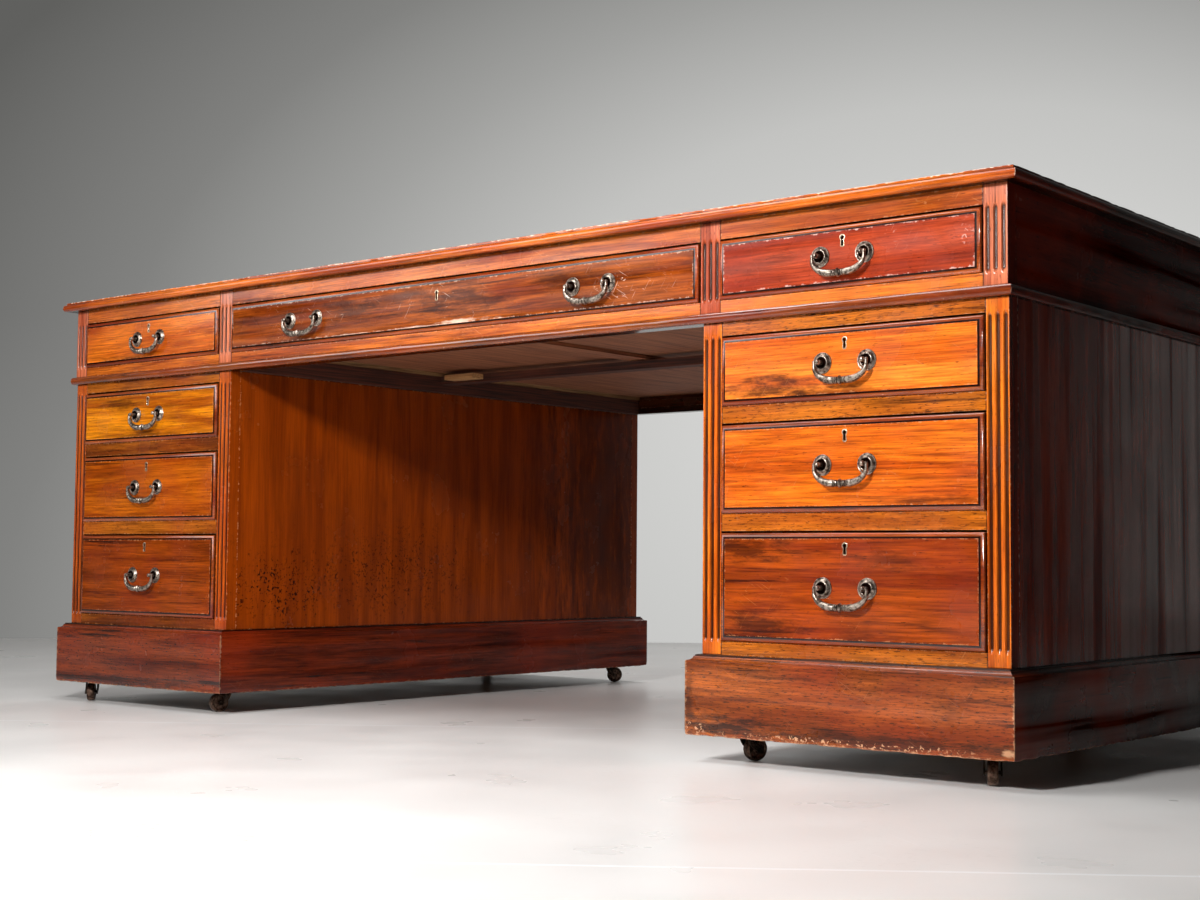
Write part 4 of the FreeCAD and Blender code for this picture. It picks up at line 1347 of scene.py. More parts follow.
@dataclass
class WritingTop:
    """Top with a thumb-moulded edge round a leather writing surface."""

    edge_width: float = 60 * MM  # the mitred boards that carry the moulded edge
    nosing_return: float = 5 * MM
    nosing_widest: float = 6 * MM
    nosing_height: float = 12.3 * MM
    nosing_inset: float = 3.2 * MM
    fillet_inset: float = 5.5 * MM
    arris: float = 1 * MM
    cut_spacing: float = 9 * MM
    dent_depth: float = 1.1 * MM

    def nosing(self) -> list[tuple[float, float]]:
        """Profile of the moulded edge as (inset, height above the underside)."""
        steps = 6
        points = []
        for step in range(steps + 1):
            turn = math.pi / 2 * step / steps
            points.append(
                (self.nosing_return * (1 - math.sin(turn)), self.nosing_widest * (1 - math.cos(turn)))
            )
        rise = self.nosing_height - self.nosing_widest
        for step in range(1, steps + 1):
            turn = math.pi / 2 * step / steps
            points.append(
                (
                    self.nosing_inset * (1 - math.cos(turn)),
                    self.nosing_widest + rise * math.sin(turn),
                )
            )
        return points

    def build(self, finishes: Finishes) -> None:
        """Builds the slab and the leather."""
        low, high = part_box("writing_top")
        leather_low, leather_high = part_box("leather_inset")
        thick = high.z - low.z
        profile = [(self.edge_width, 0.0)] + self.nosing()
        profile += [
            (self.fillet_inset - 0.3 * MM, self.nosing_height + 0.1 * MM),
            (self.fillet_inset, self.nosing_height + 0.5 * MM),
            (self.fillet_inset, thick - self.arris),
            (self.fillet_inset + self.arris * 0.3, thick - self.arris * 0.3),
            (self.fillet_inset + self.arris, thick),
            (self.fillet_inset + 14 * MM, thick),
        ]
        bm = mitred_loft(high.x, high.y, profile, hollow=False)
        bmesh.ops.translate(bm, vec=(0, 0, low.z), verts=bm.verts[:])
        top = max(bm.faces, key=lambda face: face.calc_center_median().z * 10 + face.calc_area())
        recess = high.x - self.fillet_inset - 14 * MM - leather_high.x
        bmesh.ops.inset_region(bm, faces=[top], thickness=recess, use_even_offset=True)
        made = bmesh.ops.extrude_face_region(bm, geom=[top])["geom"]
        floor = [part for part in made if isinstance(part, bmesh.types.BMVert)]
        bmesh.ops.translate(bm, vec=(0, 0, leather_low.z - high.z), verts=floor)
        if top.is_valid:
            bmesh.ops.delete(bm, geom=[top], context="FACES_ONLY")
        cut_lengths(bm, self.cut_spacing)
        bm.normal_update()
        rim = [v for v in bm.verts if self.on_upper_arris(v.co, high)]
        dent(rim, self.dent_depth, 14 * MM, Vector((0, 0, 0)), 3.1)
        # the edge's runs along the ends take a near-black copy of its finish: painted shade
        piece = Piece(
            "moulded_top",
            "carcass",
            "mahogany_top",
            "nosing_mahogany",
            "nosing_end_mahogany",
            "top_mahogany",
        )
        # painted shade under the overhang and in the quirk; the upper arris is marked bare
        soiled_and_shaded(bm, lambda place: self.dirt_and_shade(place, low, high))
        deeper = Vector((0, 0, self.edge_width))
        piece.add_mitred(bm, (low - deeper, high + deeper), self.edge_width)
        piece.finish_off(finishes, "writing_top")
        skin = Piece("leather_panel", "carcass", "writing_leather", "tooled_leather")
        skin.add_board(
            plank(leather_low, leather_high, 0.4 * MM), (leather_low, leather_high), Grain.ALONG_X
        )
        skin.finish_off(finishes, "leather_inset")

    def dirt_and_shade(self, place: Vector, low: Vector, high: Vector) -> float:
        """Painted shade under the overhang and in the quirk over the round; the upper arris is bare."""
        edge = min(high.x - abs(place.x), high.y - abs(place.y))
        if self.on_upper_arris(place, high):
            return -1.0
        if edge > self.nosing_return + 1 * MM and place.z < low.z + 1 * MM:
            return 0.9
        quirk = low.z + self.nosing_height
        inside = abs(edge - self.fillet_inset) < 0.6 * MM
        return 0.9 if inside and quirk <= place.z + 0.1 * MM < quirk + 1 * MM else 0.0

    def on_upper_arris(self, place: Vector, high: Vector) -> bool:
        """True on the arris round the upper face."""
        edge = min(high.x - abs(place.x), high.y - abs(place.y))
        reach = self.fillet_inset + self.arris * 1.2
        return place.z > high.z - self.arris * 1.2 and edge < reach


# ---------------------------------------------------------------- frames


@dataclass
class FlutedStile:
    """Upright of a face frame with stopped flutes run down its face."""

    span: Box
    face: Face
    flutes: tuple[float, float]  # lower and upper end
    count: int = 3
    pitch: float = 11 * MM
    width: float = 6.6 * MM
    depth: float = 2.4 * MM
    run_out: float = 8 * MM
    across_steps: int = 10
    row_spacing: float = 9 * MM
    arris: float = 0.8 * MM
    # grime and painted shade in the bottom of the flutes
    dirt_and_shade: float = 0.92  # in the bottom of the flutes

    def columns(self) -> list[float]:
        """Places across the stile where its face is cut."""
        low, high = self.span
        middle = (low.x + high.x) / 2
        places = [low.x, high.x]
        for number in range(self.count):
            centre = middle + (number - (self.count - 1) / 2) * self.pitch
            for step in range(self.across_steps + 1):
                places.append(centre + self.width * (step / self.across_steps - 0.5))
        return sorted(places)

    def rows(self) -> list[float]:
        """Heights at which the face is cut."""
        low, high = self.span
        start, end = self.flutes
        places = [low.z, high.z]
        steps = 6
        for step in range(steps + 1):
            places.append(start + self.run_out * step / steps)
            places.append(end - self.run_out * step / steps)
        inner = (start + self.run_out, end - self.run_out)
        count = max(1, round((inner[1] - inner[0]) / self.row_spacing))
        places += [inner[0] + (inner[1] - inner[0]) * step / count for step in range(1, count)]
        return sorted(places)

    def hollow(self, x: float, z: float) -> float:
        """Depth of the face at a place, by a round cutter that lifts out at both ends."""
        low, high = self.span
        radius = (self.width**2 / 4 + self.depth**2) / (2 * self.depth)
        start, end = self.flutes
        inside = min(z - start, end - z) / self.run_out
        if inside <= 0:
            return 0.0
        lift = self.depth * max(0.0, 1 - inside)
        middle = (low.x + high.x) / 2
        nearest = min(
            abs(x - middle - (n - (self.count - 1) / 2) * self.pitch) for n in range(self.count)
        )
        if nearest >= radius:
            return 0.0
        return max(0.0, math.sqrt(radius**2 - nearest**2) - (radius - self.depth) - lift)

    def build(self) -> BMesh:
        """Works the stile.

        Returns:
            A bmesh of it.
        """
        low, high = self.span
        columns, rows = self.columns(), self.rows()
        bm = bmesh.new()
        bmesh.ops.create_grid(
            bm, x_segments=len(columns) - 1, y_segments=len(rows) - 1, size=1.0
        )
        show = low.y if self.face is Face.FRONT else high.y
        inward = 1 if self.face is Face.FRONT else -1
        soil = bm.verts.layers.float.new("soil")
        for vert in bm.verts:
            column = round((vert.co.x + 1) / 2 * (len(columns) - 1))
            row = round((vert.co.y + 1) / 2 * (len(rows) - 1))
            x, z = columns[column], rows[row]
            hollow = self.hollow(x, z)
            vert.co = Vector((x, show + inward * hollow, z))
            # painted shade with grime, darker where a flute is deeper
            vert[soil] = self.dirt_and_shade * min(1.0, max(0.0, 2 * hollow / self.depth - 0.6))
        rim = [edge for edge in bm.edges if edge.is_boundary]
        verts, edges = extruded_ring(bm, rim)
        bmesh.ops.translate(bm, vec=(0, inward * (high.y - low.y), 0), verts=verts)
        bmesh.ops.contextual_create(bm, geom=edges)
        bmesh.ops.recalc_face_normals(bm, faces=bm.faces[:])
        ease(bm, [edge for edge in rim if edge.is_valid], self.arris)
        return bm


@dataclass
class FaceFrame:
    """Face frame of a pedestal or of the frieze: fluted stiles with rails between them."""

    stiles: list[tuple[float, float]]
    rails: list[tuple[tuple[float, float], tuple[float, float]]]  # (x span, z span)
    height: tuple[float, float]
    depth: tuple[float, float]
    openings: tuple[float, float]
    face: Face
    overrun: float = 3 * MM
    rail_arris: float = 0.4 * MM

    def build(self, uprights: Piece, crosswise: Piece, sides: tuple[int, int]) -> None:
        """Adds the frame's boards to its pieces.

        Args:
            uprights: Piece that gets the stiles.
            crosswise: Piece that gets the rails.
            sides: Numbers of the finishes on the stiles' low X sides and high X sides.
        """
        flutes = (self.openings[0] - self.overrun, self.openings[1] + self.overrun)
        for x in self.stiles:
            span = corners(x, self.depth, self.height)
            stile = FlutedStile(span, self.face, flutes).build()
            uprights.add_board(stile, span, Grain.UPRIGHT, sides)
        show = self.depth[0] if self.face is Face.FRONT else self.depth[1]
        for x, z in self.rails:
            span = corners(x, self.depth, z)
            rail = plank(*span, self.rail_arris)
            # painted shade on every face of a rail but its show face, in the gaps at the openings and joints
            soiled_and_shaded(rail, lambda place: 0.9 if abs(place.y - show) > 0.2 * MM else 0.0)
            crosswise.add_board(rail, span, Grain.ALONG_X)


@dataclass
class Frieze:
    """Frieze section: two face frames, end boards, inner framing and the waist moulding."""

    corner_stile: float = 34.5 * MM
    inner_stile: float = 35 * MM
    opening: float = 409 * MM  # width of a side drawer's opening
    bottom_rail: float = 17.5 * MM
    top_rail: float = 26 * MM
    frame_thick: float = 22 * MM
    side_thick: float = 20 * MM
    partition: float = 12 * MM
    partition_board: float = 19 * MM
    bearer_lap: float = 13.5 * MM
    guide_height: float = 12 * MM
    beam: tuple[float, float, float] = (30 * MM, 16 * MM, 59.5 * MM)  # deep, thick, forward
    packing: tuple[float, float, float] = (78 * MM, 31 * MM, 10 * MM)
    packing_from_bearer: float = 40 * MM
    packing_drop: float = 1.5 * MM
    waist_round: float = 4 * MM

    def build(self, finishes: Finishes) -> None:
        """Builds every piece of the frieze section."""
        low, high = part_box("frieze_front_frame")
        half = high.x
        side = (half - self.corner_stile - self.opening, half - self.corner_stile)
        inner = (side[0] - self.inner_stile, side[0])
        self.frames(finishes, half, side, inner, (low.z, high.z))
        ends = Piece("frieze_ends", "carcass", "mahogany_carcass", "frieze_end_mahogany")
        end_low, end_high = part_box("frieze_end_panels")
        for sign in (-1, 1):
            x = (sign * (half - self.side_thick), sign * half)
            ends.add_planks(
                [corners(x, (end_low.y, end_high.y), (end_low.z, end_high.z))], Grain.ALONG_Y
            )
        ends.finish_off(finishes, "frieze_end_panels")
        self.framing(finishes, half, side, inner, (low.z, high.z))
        self.waist(finishes)

    def frames(
        self,
        finishes: Finishes,
        half: float,
        side: tuple[float, float],
        inner: tuple[float, float],
        height: tuple[float, float],
    ) -> None:
        """Builds the front and back frames."""
        opening = (height[0] + self.bottom_rail, height[1] - self.top_rail)
        stiles = [(side[1], half), inner, (-inner[1], -inner[0]), (-half, -side[1])]
        levels = ((height[0], opening[0]), (opening[1], height[1]))
        widths = (side, (-side[1], -side[0]), (-inner[0], inner[0]))
        rails = [(x, z) for z in levels for x in widths]
        for face, node in ((Face.FRONT, "frieze_front_frame"), (Face.BACK, "frieze_back_frame")):
            low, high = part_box(node)
            uprights = Piece(
                f"{node}_stiles",
                "carcass",
                "mahogany_carcass",
                "frieze_stile_mahogany",
                "frieze_end_mahogany",
            )
            crosswise = Piece(
                f"{node}_rails", "carcass", "mahogany_carcass", "frieze_rail_mahogany"
            )
            built = FaceFrame(stiles, rails, height, (low.y, high.y), opening, face)
            built.build(uprights, crosswise, (1, 1))
            for piece in (uprights, crosswise):
                piece.finish_off(finishes, node)

    def framing(
        self,
        finishes: Finishes,
        half: float,
        side: tuple[float, float],
        inner: tuple[float, float],
        height: tuple[float, float],
    ) -> None:
        """Builds bearers, runners, partitions, cross boards, the middle beam and its packing."""
        low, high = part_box("frieze_inner_frame")
        y = (low.y, high.y)
        opening = height[0] + self.bottom_rail
        bearer = (inner[0] - self.bearer_lap, inner[1] + self.bearer_lap)
        middle = sum(inner) / 2
        board = (middle - self.partition_board / 2, middle + self.partition_board / 2)
        guide = (opening, opening + self.guide_height)
        end = half - self.side_thick
        cross = self.partition / 2
        boards = Piece("frieze_bearers", "carcass", "inner_oak", "frame_oak")
        for sign in (-1, 1):
            spans = [
                corners([sign * v for v in bearer], y, (low.z, opening)),
                corners([sign * v for v in board], y, (opening, height[1])),
                corners(
                    (sign * (side[1] - self.bearer_lap), sign * end), y, (height[0], opening)
                ),
                corners((sign * side[1], sign * end), y, guide),
            ]
            for run in ((y[0], -cross), (cross, y[1])):
                spans.append(corners((sign * inner[0], sign * board[0]), run, guide))
                spans.append(corners((sign * board[1], sign * inner[1]), run, guide))
            boards.add_planks(spans, Grain.ALONG_Y, 0.6 * MM)
            far = corners((sign * board[1], sign * end), (-cross, cross), (guide[1], height[1]))
            boards.add_planks([far], Grain.ALONG_X)
        boards.add_planks(
            [corners((-board[0], board[0]), (-cross, cross), (opening, height[1]))], Grain.ALONG_X
        )
        deep, thick, forward = self.beam
        beam_y = (-forward - deep / 2, -forward + deep / 2)
        boards.add_planks(
            [corners((-bearer[0], bearer[0]), beam_y, (opening - thick, opening))],
            Grain.ALONG_X,
            0.8 * MM,
        )
        boards.finish_off(finishes, "frieze_inner_frame")
        packing = Piece("packing_block", "carcass", "inner_oak", "packing_pine")
        start = self.packing_from_bearer - bearer[0]
        top = opening - self.packing_drop
        packing.add_planks(
            [
                corners(
                    (start, start + self.packing[0]),
                    (beam_y[0] - self.packing[1], beam_y[0]),
                    (top - self.packing[2], top),
                )
            ],
            Grain.ALONG_X,
            0.8 * MM,
        )
        packing.finish_off(finishes)

    def waist(self, finishes: Finishes) -> None:
        """Builds the half-round moulding between the frieze and the pedestals."""
        low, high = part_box("waist_moulding")
        tall = high.z - low.z
        width = 30 * MM
        profile = [(width, tall), (width, 0.0)]
        steps = 10
        for step in range(steps + 1):
            turn = math.pi * step / steps - math.pi / 2
            profile.append(
                (self.waist_round * (1 - math.cos(turn)), tall / 2 * (1 + math.sin(turn)))
            )
        bm = mitred_loft(high.x, high.y, profile, hollow=True)
        bmesh.ops.translate(bm, vec=(0, 0, low.z), verts=bm.verts[:])
        cut_lengths(bm, 14 * MM)
        bm.normal_update()
        outer = [
            v for v in bm.verts if min(high.x - abs(v.co.x), high.y - abs(v.co.y)) < 1.5 * MM
        ]
        dent(outer, 0.6 * MM, 16 * MM, Vector((0, 0, 0)), 7.7)
        # the runs along the ends take the nosing's near-black copy: painted shade
        piece = Piece(
            "waist_bead", "carcass", "mahogany_carcass", "waist_mahogany", "nosing_end_mahogany"
        )
        # painted shade at the junctions above and under the moulding
        soiled_and_shaded(bm, lambda place: self.waist_painted_shade(place, high))
        piece.add_mitred(bm, (low, high), width)
        piece.finish_off(finishes, "waist_moulding")


    def waist_painted_shade(self, place: Vector, high: Vector) -> float:
        """Painted shade where the moulding meets the boards above and under it."""
        inset = min(high.x - abs(place.x), high.y - abs(place.y))
        return 0.9 if inset > 1.8 * self.waist_round else 0.0


# ---------------------------------------------------------------- pedestals


@dataclass
class Pedestal:
    """One pedestal: face frames, side boards, inner boards and its mitred plinth."""

    side: str
    stile: float = 33 * MM
    end_rail: float = 19 * MM
    side_thick: float = 20 * MM
    frame_thick: float = 22 * MM
    board_thick: float = 14 * MM
    partition: float = 12 * MM
    runner_thick: float = 20 * MM
    guide_height: float = 12 * MM
    lap: float = 13.5 * MM
    running_gap: float = 0.3 * MM
    front_gap: float = 2.8 * MM  # over a drawer front
    plinth_thick: float = 30 * MM
    plinth_cap: float = 8 * MM
    plinth_run: float = 10.5 * MM
    plinth_fillet: float = 2.4 * MM
    block: float = 86 * MM
    hinge_inset: float = 70 * MM

    def __post_init__(self) -> None:
        """Reads the pedestal's box from its side boards."""
        self.low, self.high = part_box(f"{self.side}_pedestal_sides")
        self.face_y = self.low.y - self.frame_thick

    def openings(self) -> list[tuple[float, float]]:
        """Height span of each drawer opening, from the lowest up."""
        spans = []
        for level in ("bottom", "middle", "top"):
            low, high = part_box(f"{self.side}_{level}_drawer")
            spans.append((low.z - self.running_gap, high.z + self.front_gap))
        return spans

    def build(self, finishes: Finishes) -> None:
        """Builds every fixed piece of the pedestal."""
        low, high = self.low, self.high
        openings = self.openings()
        ends = [(low.z, openings[0][0]), (openings[-1][1], high.z)]
        between = [(a[1], b[0]) for a, b in zip(openings, openings[1:])]
        stiles = [(low.x, low.x + self.stile), (high.x - self.stile, high.x)]
        inside = (stiles[0][1], stiles[1][0])
        clear = (openings[0][0], openings[-1][1])
        node = f"{self.side}_pedestal_frames"
        uprights = Piece(
            f"{self.side}_pedestal_stiles",
            "carcass",
            "mahogany_carcass",
            f"{self.side}_stile_mahogany",
            "inner_side_mahogany",
            "outer_side_mahogany",
        )
        crosswise = Piece(
            f"{self.side}_pedestal_rails",
            "carcass",
            "mahogany_carcass",
            f"{self.side}_rail_mahogany",
        )
        sides = (2, 1) if self.side == "left" else (1, 2)
        for face, levels in ((Face.FRONT, ends + between), (Face.BACK, ends)):
            outer = self.face_y if face is Face.FRONT else -self.face_y
            inner = low.y if face is Face.FRONT else high.y
            rails = [(inside, level) for level in levels]
            depth = (min(outer, inner), max(outer, inner))
            built = FaceFrame(stiles, rails, (low.z, high.z), depth, clear, face)
            built.build(uprights, crosswise, sides)
        for piece in (uprights, crosswise):
            piece.finish_off(finishes, node)
        self.sides(finishes)
        self.boards(finishes, openings, inside)
        self.plinth(finishes)
        self.knuckles(finishes, clear)

    def sides(self, finishes: Finishes) -> None:
        """Builds the two side boards; the outer one is the darker."""
        low, high = self.low, self.high
        spans = {
            low.x: (low.x, low.x + self.side_thick),
            high.x: (high.x - self.side_thick, high.x),
        }
        outer_x = low.x if self.side == "left" else high.x
        for place, x in spans.items():
            outer = place == outer_x
            piece = Piece(
                f"{self.side}_pedestal_{'outer' if outer else 'inner'}_side",
                "carcass",
                "mahogany_carcass",
                "outer_side_mahogany" if outer else "inner_side_mahogany",
            )
            piece.add_planks([corners(x, (low.y, high.y), (low.z, high.z))], Grain.UPRIGHT_SIDE)
            piece.finish_off(finishes, f"{self.side}_pedestal_sides")

    def boards(
        self, finishes: Finishes, openings: list[tuple[float, float]], inside: tuple[float, float]
    ) -> None:
        """Builds bottom, top and cross boards and the drawer runners."""
        low, high = self.low, self.high
        x = (low.x + self.side_thick, high.x - self.side_thick)
        y = (low.y, high.y)
        cross = self.partition / 2
        floor, ceiling = low.z + self.board_thick, high.z - self.board_thick
        piece = Piece(f"{self.side}_pedestal_inner_boards", "carcass", "inner_oak", "drawer_oak")
        piece.add_planks(
            [corners(x, y, (low.z, floor)), corners(x, y, (ceiling, high.z))], Grain.ALONG_Y
        )
        piece.add_planks([corners(x, (-cross, cross), (floor, ceiling))], Grain.ALONG_X)
        for number, (bottom, _) in enumerate(openings):
            under = floor if number == 0 else bottom - self.runner_thick
            run = (y[0], -cross)
            for wall, edge, lap in (
                (x[0], inside[0], inside[0] + self.lap),
                (x[1], inside[1], inside[1] - self.lap),
            ):
                rail = corners((wall, lap), run, (under, bottom))
                guide = corners((wall, edge), run, (bottom, bottom + self.guide_height))
                piece.add_planks([rail, guide], Grain.ALONG_Y)
        piece.finish_off(finishes, f"{self.side}_pedestal_boards")

    def plinth(self, finishes: Finishes) -> None:
        """Builds the mitred plinth with its coved cap and its caster blocks."""
        low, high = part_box(f"{self.side}_plinth")
        centre = Vector(((low.x + high.x) / 2, 0, low.z))
        tall = high.z - low.z
        shoulder = tall - self.plinth_cap
        foot = tall - self.plinth_fillet
        profile = [
            (self.plinth_thick, tall),
            (self.plinth_thick, 0.0),
            (2.2 * MM, 0.0),
            (0.6 * MM, 0.6 * MM),
            (0.0, 2.2 * MM),
            (0.0, 9 * MM),
            (0.0, shoulder - 2 * MM),
            (0.4 * MM, shoulder - 0.5 * MM),
            (1.4 * MM, shoulder),
        ]
        steps = 6
        for step in range(1, steps + 1):
            turn = math.pi / 2 * step / steps
            profile.append(
                (
                    1.4 * MM + (self.plinth_run - 2 * MM - 1.4 * MM) * math.sin(turn),
                    shoulder + (foot - shoulder) * (1 - math.cos(turn)),
                )
            )
        profile += [
            (self.plinth_run - 0.6 * MM, foot + 0.2 * MM),
            (self.plinth_run, foot + 0.8 * MM),
            (self.plinth_run, tall),
        ]
        bm = mitred_loft((high.x - low.x) / 2, high.y, profile, hollow=True)
        cut_lengths(bm, 8 * MM)
        bm.normal_update()
        half_x = (high.x - low.x) / 2
        foot_rim = [v for v in bm.verts if v.co.z < 3 * MM and v.co.z > -1 * MM]
        foot_rim = [
            v for v in foot_rim if min(half_x - abs(v.co.x), high.y - abs(v.co.y)) < 4 * MM
        ]
        dent(foot_rim, 1.6 * MM, 11 * MM, centre, 2.3)
        shoulder_rim = [
            v
            for v in bm.verts
            if abs(v.co.z - shoulder) < 1.2 * MM
            and min(half_x - abs(v.co.x), high.y - abs(v.co.y)) < 2 * MM
        ]
        dent(shoulder_rim, 0.8 * MM, 12 * MM, centre, 5.9)
        bmesh.ops.translate(bm, vec=centre, verts=bm.verts[:])
        # the plinth's runs along the ends take a side finish; the right pedestal's is a near-black copy,
        # painted shade
        piece = Piece(
            f"{self.side}_plinth_boards",
            "carcass",
            "mahogany_carcass",
            f"{self.side}_plinth_mahogany",
            f"{self.side}_plinth_side_mahogany",
        )
        # painted shade on top of the cap where it meets the pedestal
        soiled_and_shaded(bm, lambda place: self.plinth_painted_shade(place, low, high))
        piece.add_mitred(bm, (low, high), self.plinth_thick)
        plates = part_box("caster_plates")
        blocks = []
        for x in (
            (low.x + self.plinth_thick, low.x + self.plinth_thick + self.block),
            (high.x - self.plinth_thick - self.block, high.x - self.plinth_thick),
        ):
            for sign in (-1, 1):
                wall = sign * (high.y - self.plinth_thick)
                blocks.append(
                    corners(x, (wall, wall - sign * self.block), (plates[1].z, high.z))
                )
        piece.add_planks(blocks, Grain.ALONG_X)
        piece.finish_off(finishes, f"{self.side}_plinth")

    def plinth_painted_shade(self, place: Vector, low: Vector, high: Vector) -> float:
        """Painted shade on top of the cap, against the pedestal."""
        middle, half = (low + high) / 2, (high - low) / 2
        inset = min(half.x - abs(place.x - middle.x), half.y - abs(place.y - middle.y))
        return 0.9 if inset > self.plinth_run - 1.2 * MM and place.z > high.z - 3 * MM else 0.0

    def knuckles(self, finishes: Finishes, clear: tuple[float, float]) -> None:
        """Builds the lower halves of the door's hinges, on the back frame."""
        piece = Piece(f"{self.side}_frame_hinges", "carcass", "handle_bronze", "hinge_brass")
        for level in (clear[0] + self.hinge_inset, clear[1] - self.hinge_inset):
            Hinge(self.side, level).add_half(piece, upper=False)
        piece.finish_off(finishes)


@dataclass
class Hinge:
    """Butt hinge of a cupboard door."""

    side: str
    level: float
    radius: float = 3 * MM
    length: float = 24 * MM
    gap: float = 0.4 * MM
    leaf: float = 1 * MM
    leaf_depth: float = 20 * MM

    def add_half(self, piece: Piece, upper: bool) -> None:
        """Adds one half of the hinge to a piece.

        Args:
            piece: Piece that gets it.
            upper: True for the half on the door.
        """
        joint = next(j for j in frame["joints"] if j["name"] == f"{self.side}_cupboard_door_hinge")
        x, y, _ = joint["pos_m"]
        start = self.level + self.gap / 2 if upper else self.level - self.gap / 2 - self.length
        tip = 0.6 * MM
        profile = [
            (0.0, 0.0),
            (0.0, self.radius - tip),
            (tip, self.radius),
            (self.length - tip, self.radius),
            (self.length, self.radius - tip),
            (self.length, 0.0),
        ]
        piece.add(turned(profile, 20), Matrix.Translation((x, y, start)))
        # the frame's leaf lies on the hinge side of the pin, the door's on the other
        away = -1 if self.side == "left" else 1
        if upper:
            away = -away
        span = corners(
            (x, x + away * self.leaf), (y, y - self.leaf_depth), (start, start + self.length)
        )
        piece.add(plank(*span, 0.2 * MM))


# ---------------------------------------------------------------- drawers and handles


@dataclass
class SwanNeckHandle:
    """Cast swan-neck bail with a turned knop, hung between two dished rosettes."""

    spacing: float = 69 * MM
    pivot_proud: float = 12 * MM
    drop: float = 25.5 * MM
    reach: float = 32.7 * MM  # pivot line to the lowest point of the knop
    leg_x: float = 40.49 * MM
    leg_radius: float = 2.3 * MM
    leg_straight: float = 5 * MM
    bar_start: float = 10.5 * MM
    shoulder: float = 5.15 * MM
    pin: float = 1.4 * MM
    pin_end: float = 30.5 * MM
    neck: float = 4.3  # the knop holds dirt where it is thinner, in millimetres
    knop: tuple[tuple[float, float], ...] = (
        (0.0, 6.2),
        (0.6, 6.0),
        (1.6, 4.8),
        (3.0, 3.9),
        (3.7, 3.7),
        (4.1, 4.4),
        (4.9, 4.6),
        (5.5, 4.2),
        (5.9, 3.8),
        (6.4, 4.4),
        (7.0, 4.9),
        (7.8, 4.9),
        (8.3, 4.3),
        (8.8, 4.2),
    )
    rosette: tuple[tuple[float, float], ...] = (
        (-1.0, 0.0),
        (-1.0, 14.2),
        (0.0, 14.5),
        (1.0, 14.4),
        (1.5, 13.9),
        (1.5, 13.2),
        (1.2, 12.6),
        (1.5, 12.0),
        (2.6, 11.2),
        (3.9, 10.2),
        (4.5, 9.3),
        (4.6, 8.6),
        (4.2, 7.8),
        (3.2, 6.9),
        (2.5, 6.0),
        (2.3, 5.0),
        (2.6, 4.0),
        (3.6, 3.4),
        (6.0, 3.0),
        (8.0, 3.0),
        (9.4, 3.3),
        (12.0, 3.5),
        (14.4, 3.4),
        (15.8, 2.8),
        (16.5, 1.6),
        (16.6, 0.0),
    )

    def stations(self) -> list[Matrix]:
        """Sections of the right half of the bail, from its middle to the top of the leg."""
        places = [(x * MM, -self.drop, 0.0, radius * MM) for x, radius in self.knop]
        run, rise = self.leg_x - self.bar_start, self.drop - self.leg_straight
        steps = 14
        for step in range(steps + 1):
            share = step / steps
            turn = math.radians(90 * share)
            swell = self.shoulder * (1 - share**1.5) + self.leg_radius * share**1.5
            places.append(
                (
                    self.bar_start + run * math.sin(turn),
                    rise * (1 - math.cos(turn)) - self.drop,
                    90 * share,
                    swell - (0.5 * MM if step == 0 else 0.0),
                )
            )
        for up, radius in ((0.0, 2.3), (1.2, 2.2), (2.0, 1.7), (2.35, 0.9)):
            places.append((self.leg_x, up * MM, 90.0, radius * MM))
        return [self.station(*place) for place in places]

    @staticmethod
    def station(x: float, z: float, heading: float, radius: float) -> Matrix:
        """Place of one round section, square to its heading in degrees."""
        turn = Matrix.Rotation(-math.radians(heading), 4, "Y")
        return Matrix.Translation((x, 0, z)) @ turn @ Matrix.Scale(radius, 4)

    def bail(self, piece: Piece, place: Matrix) -> None:
        """Adds the bail with its two pins."""
        right = self.stations()
        mirror = Matrix.Diagonal((-1, 1, 1, 1))
        necks = [1.0 if radius < self.neck else 0.0 for _, radius in self.knop]
        necks += [0.0] * (len(right) - len(necks))
        for side in (Matrix.Identity(4), mirror):
            piece.add(swept(right, 20, necks), place @ side)
        length = self.leg_x - self.pin_end
        profile = [(0.0, 0.0), (0.0, self.pin), (length, self.pin), (length, 0.0)]
        for sign in (-1, 1):
            along = Matrix.Rotation(sign * math.pi / 2, 4, "Y")
            start = Matrix.Translation((sign * self.pin_end, 0, 0))
            piece.add(turned(profile, 12), place @ start @ along)

    def rosettes(self, piece: Piece, place: Matrix) -> None:
        """Adds the two rosettes with their posts."""
        profile = [(height * MM, radius * MM) for height, radius in self.rosette]
        lying = Matrix.Rotation(math.pi / 2, 4, "X")
        for sign in (-1, 1):
            foot = Matrix.Translation((sign * self.spacing / 2, self.pivot_proud, 0))
            plate = turned(profile, 32)
            soiled_and_shaded(plate, self.dirt_and_shade)
            piece.add(plate, place @ foot @ lying)

    @staticmethod
    def dirt_and_shade(place: Vector) -> float:
        """Dirt in the dish round the post and in the groove inside the rim."""
        radius = math.hypot(place.x, place.y) / MM
        if place.z < 4.3 * MM and 3.2 < radius < 8.0:
            return 1.0
        return 0.7 if 12.0 < radius < 13.0 else 0.0


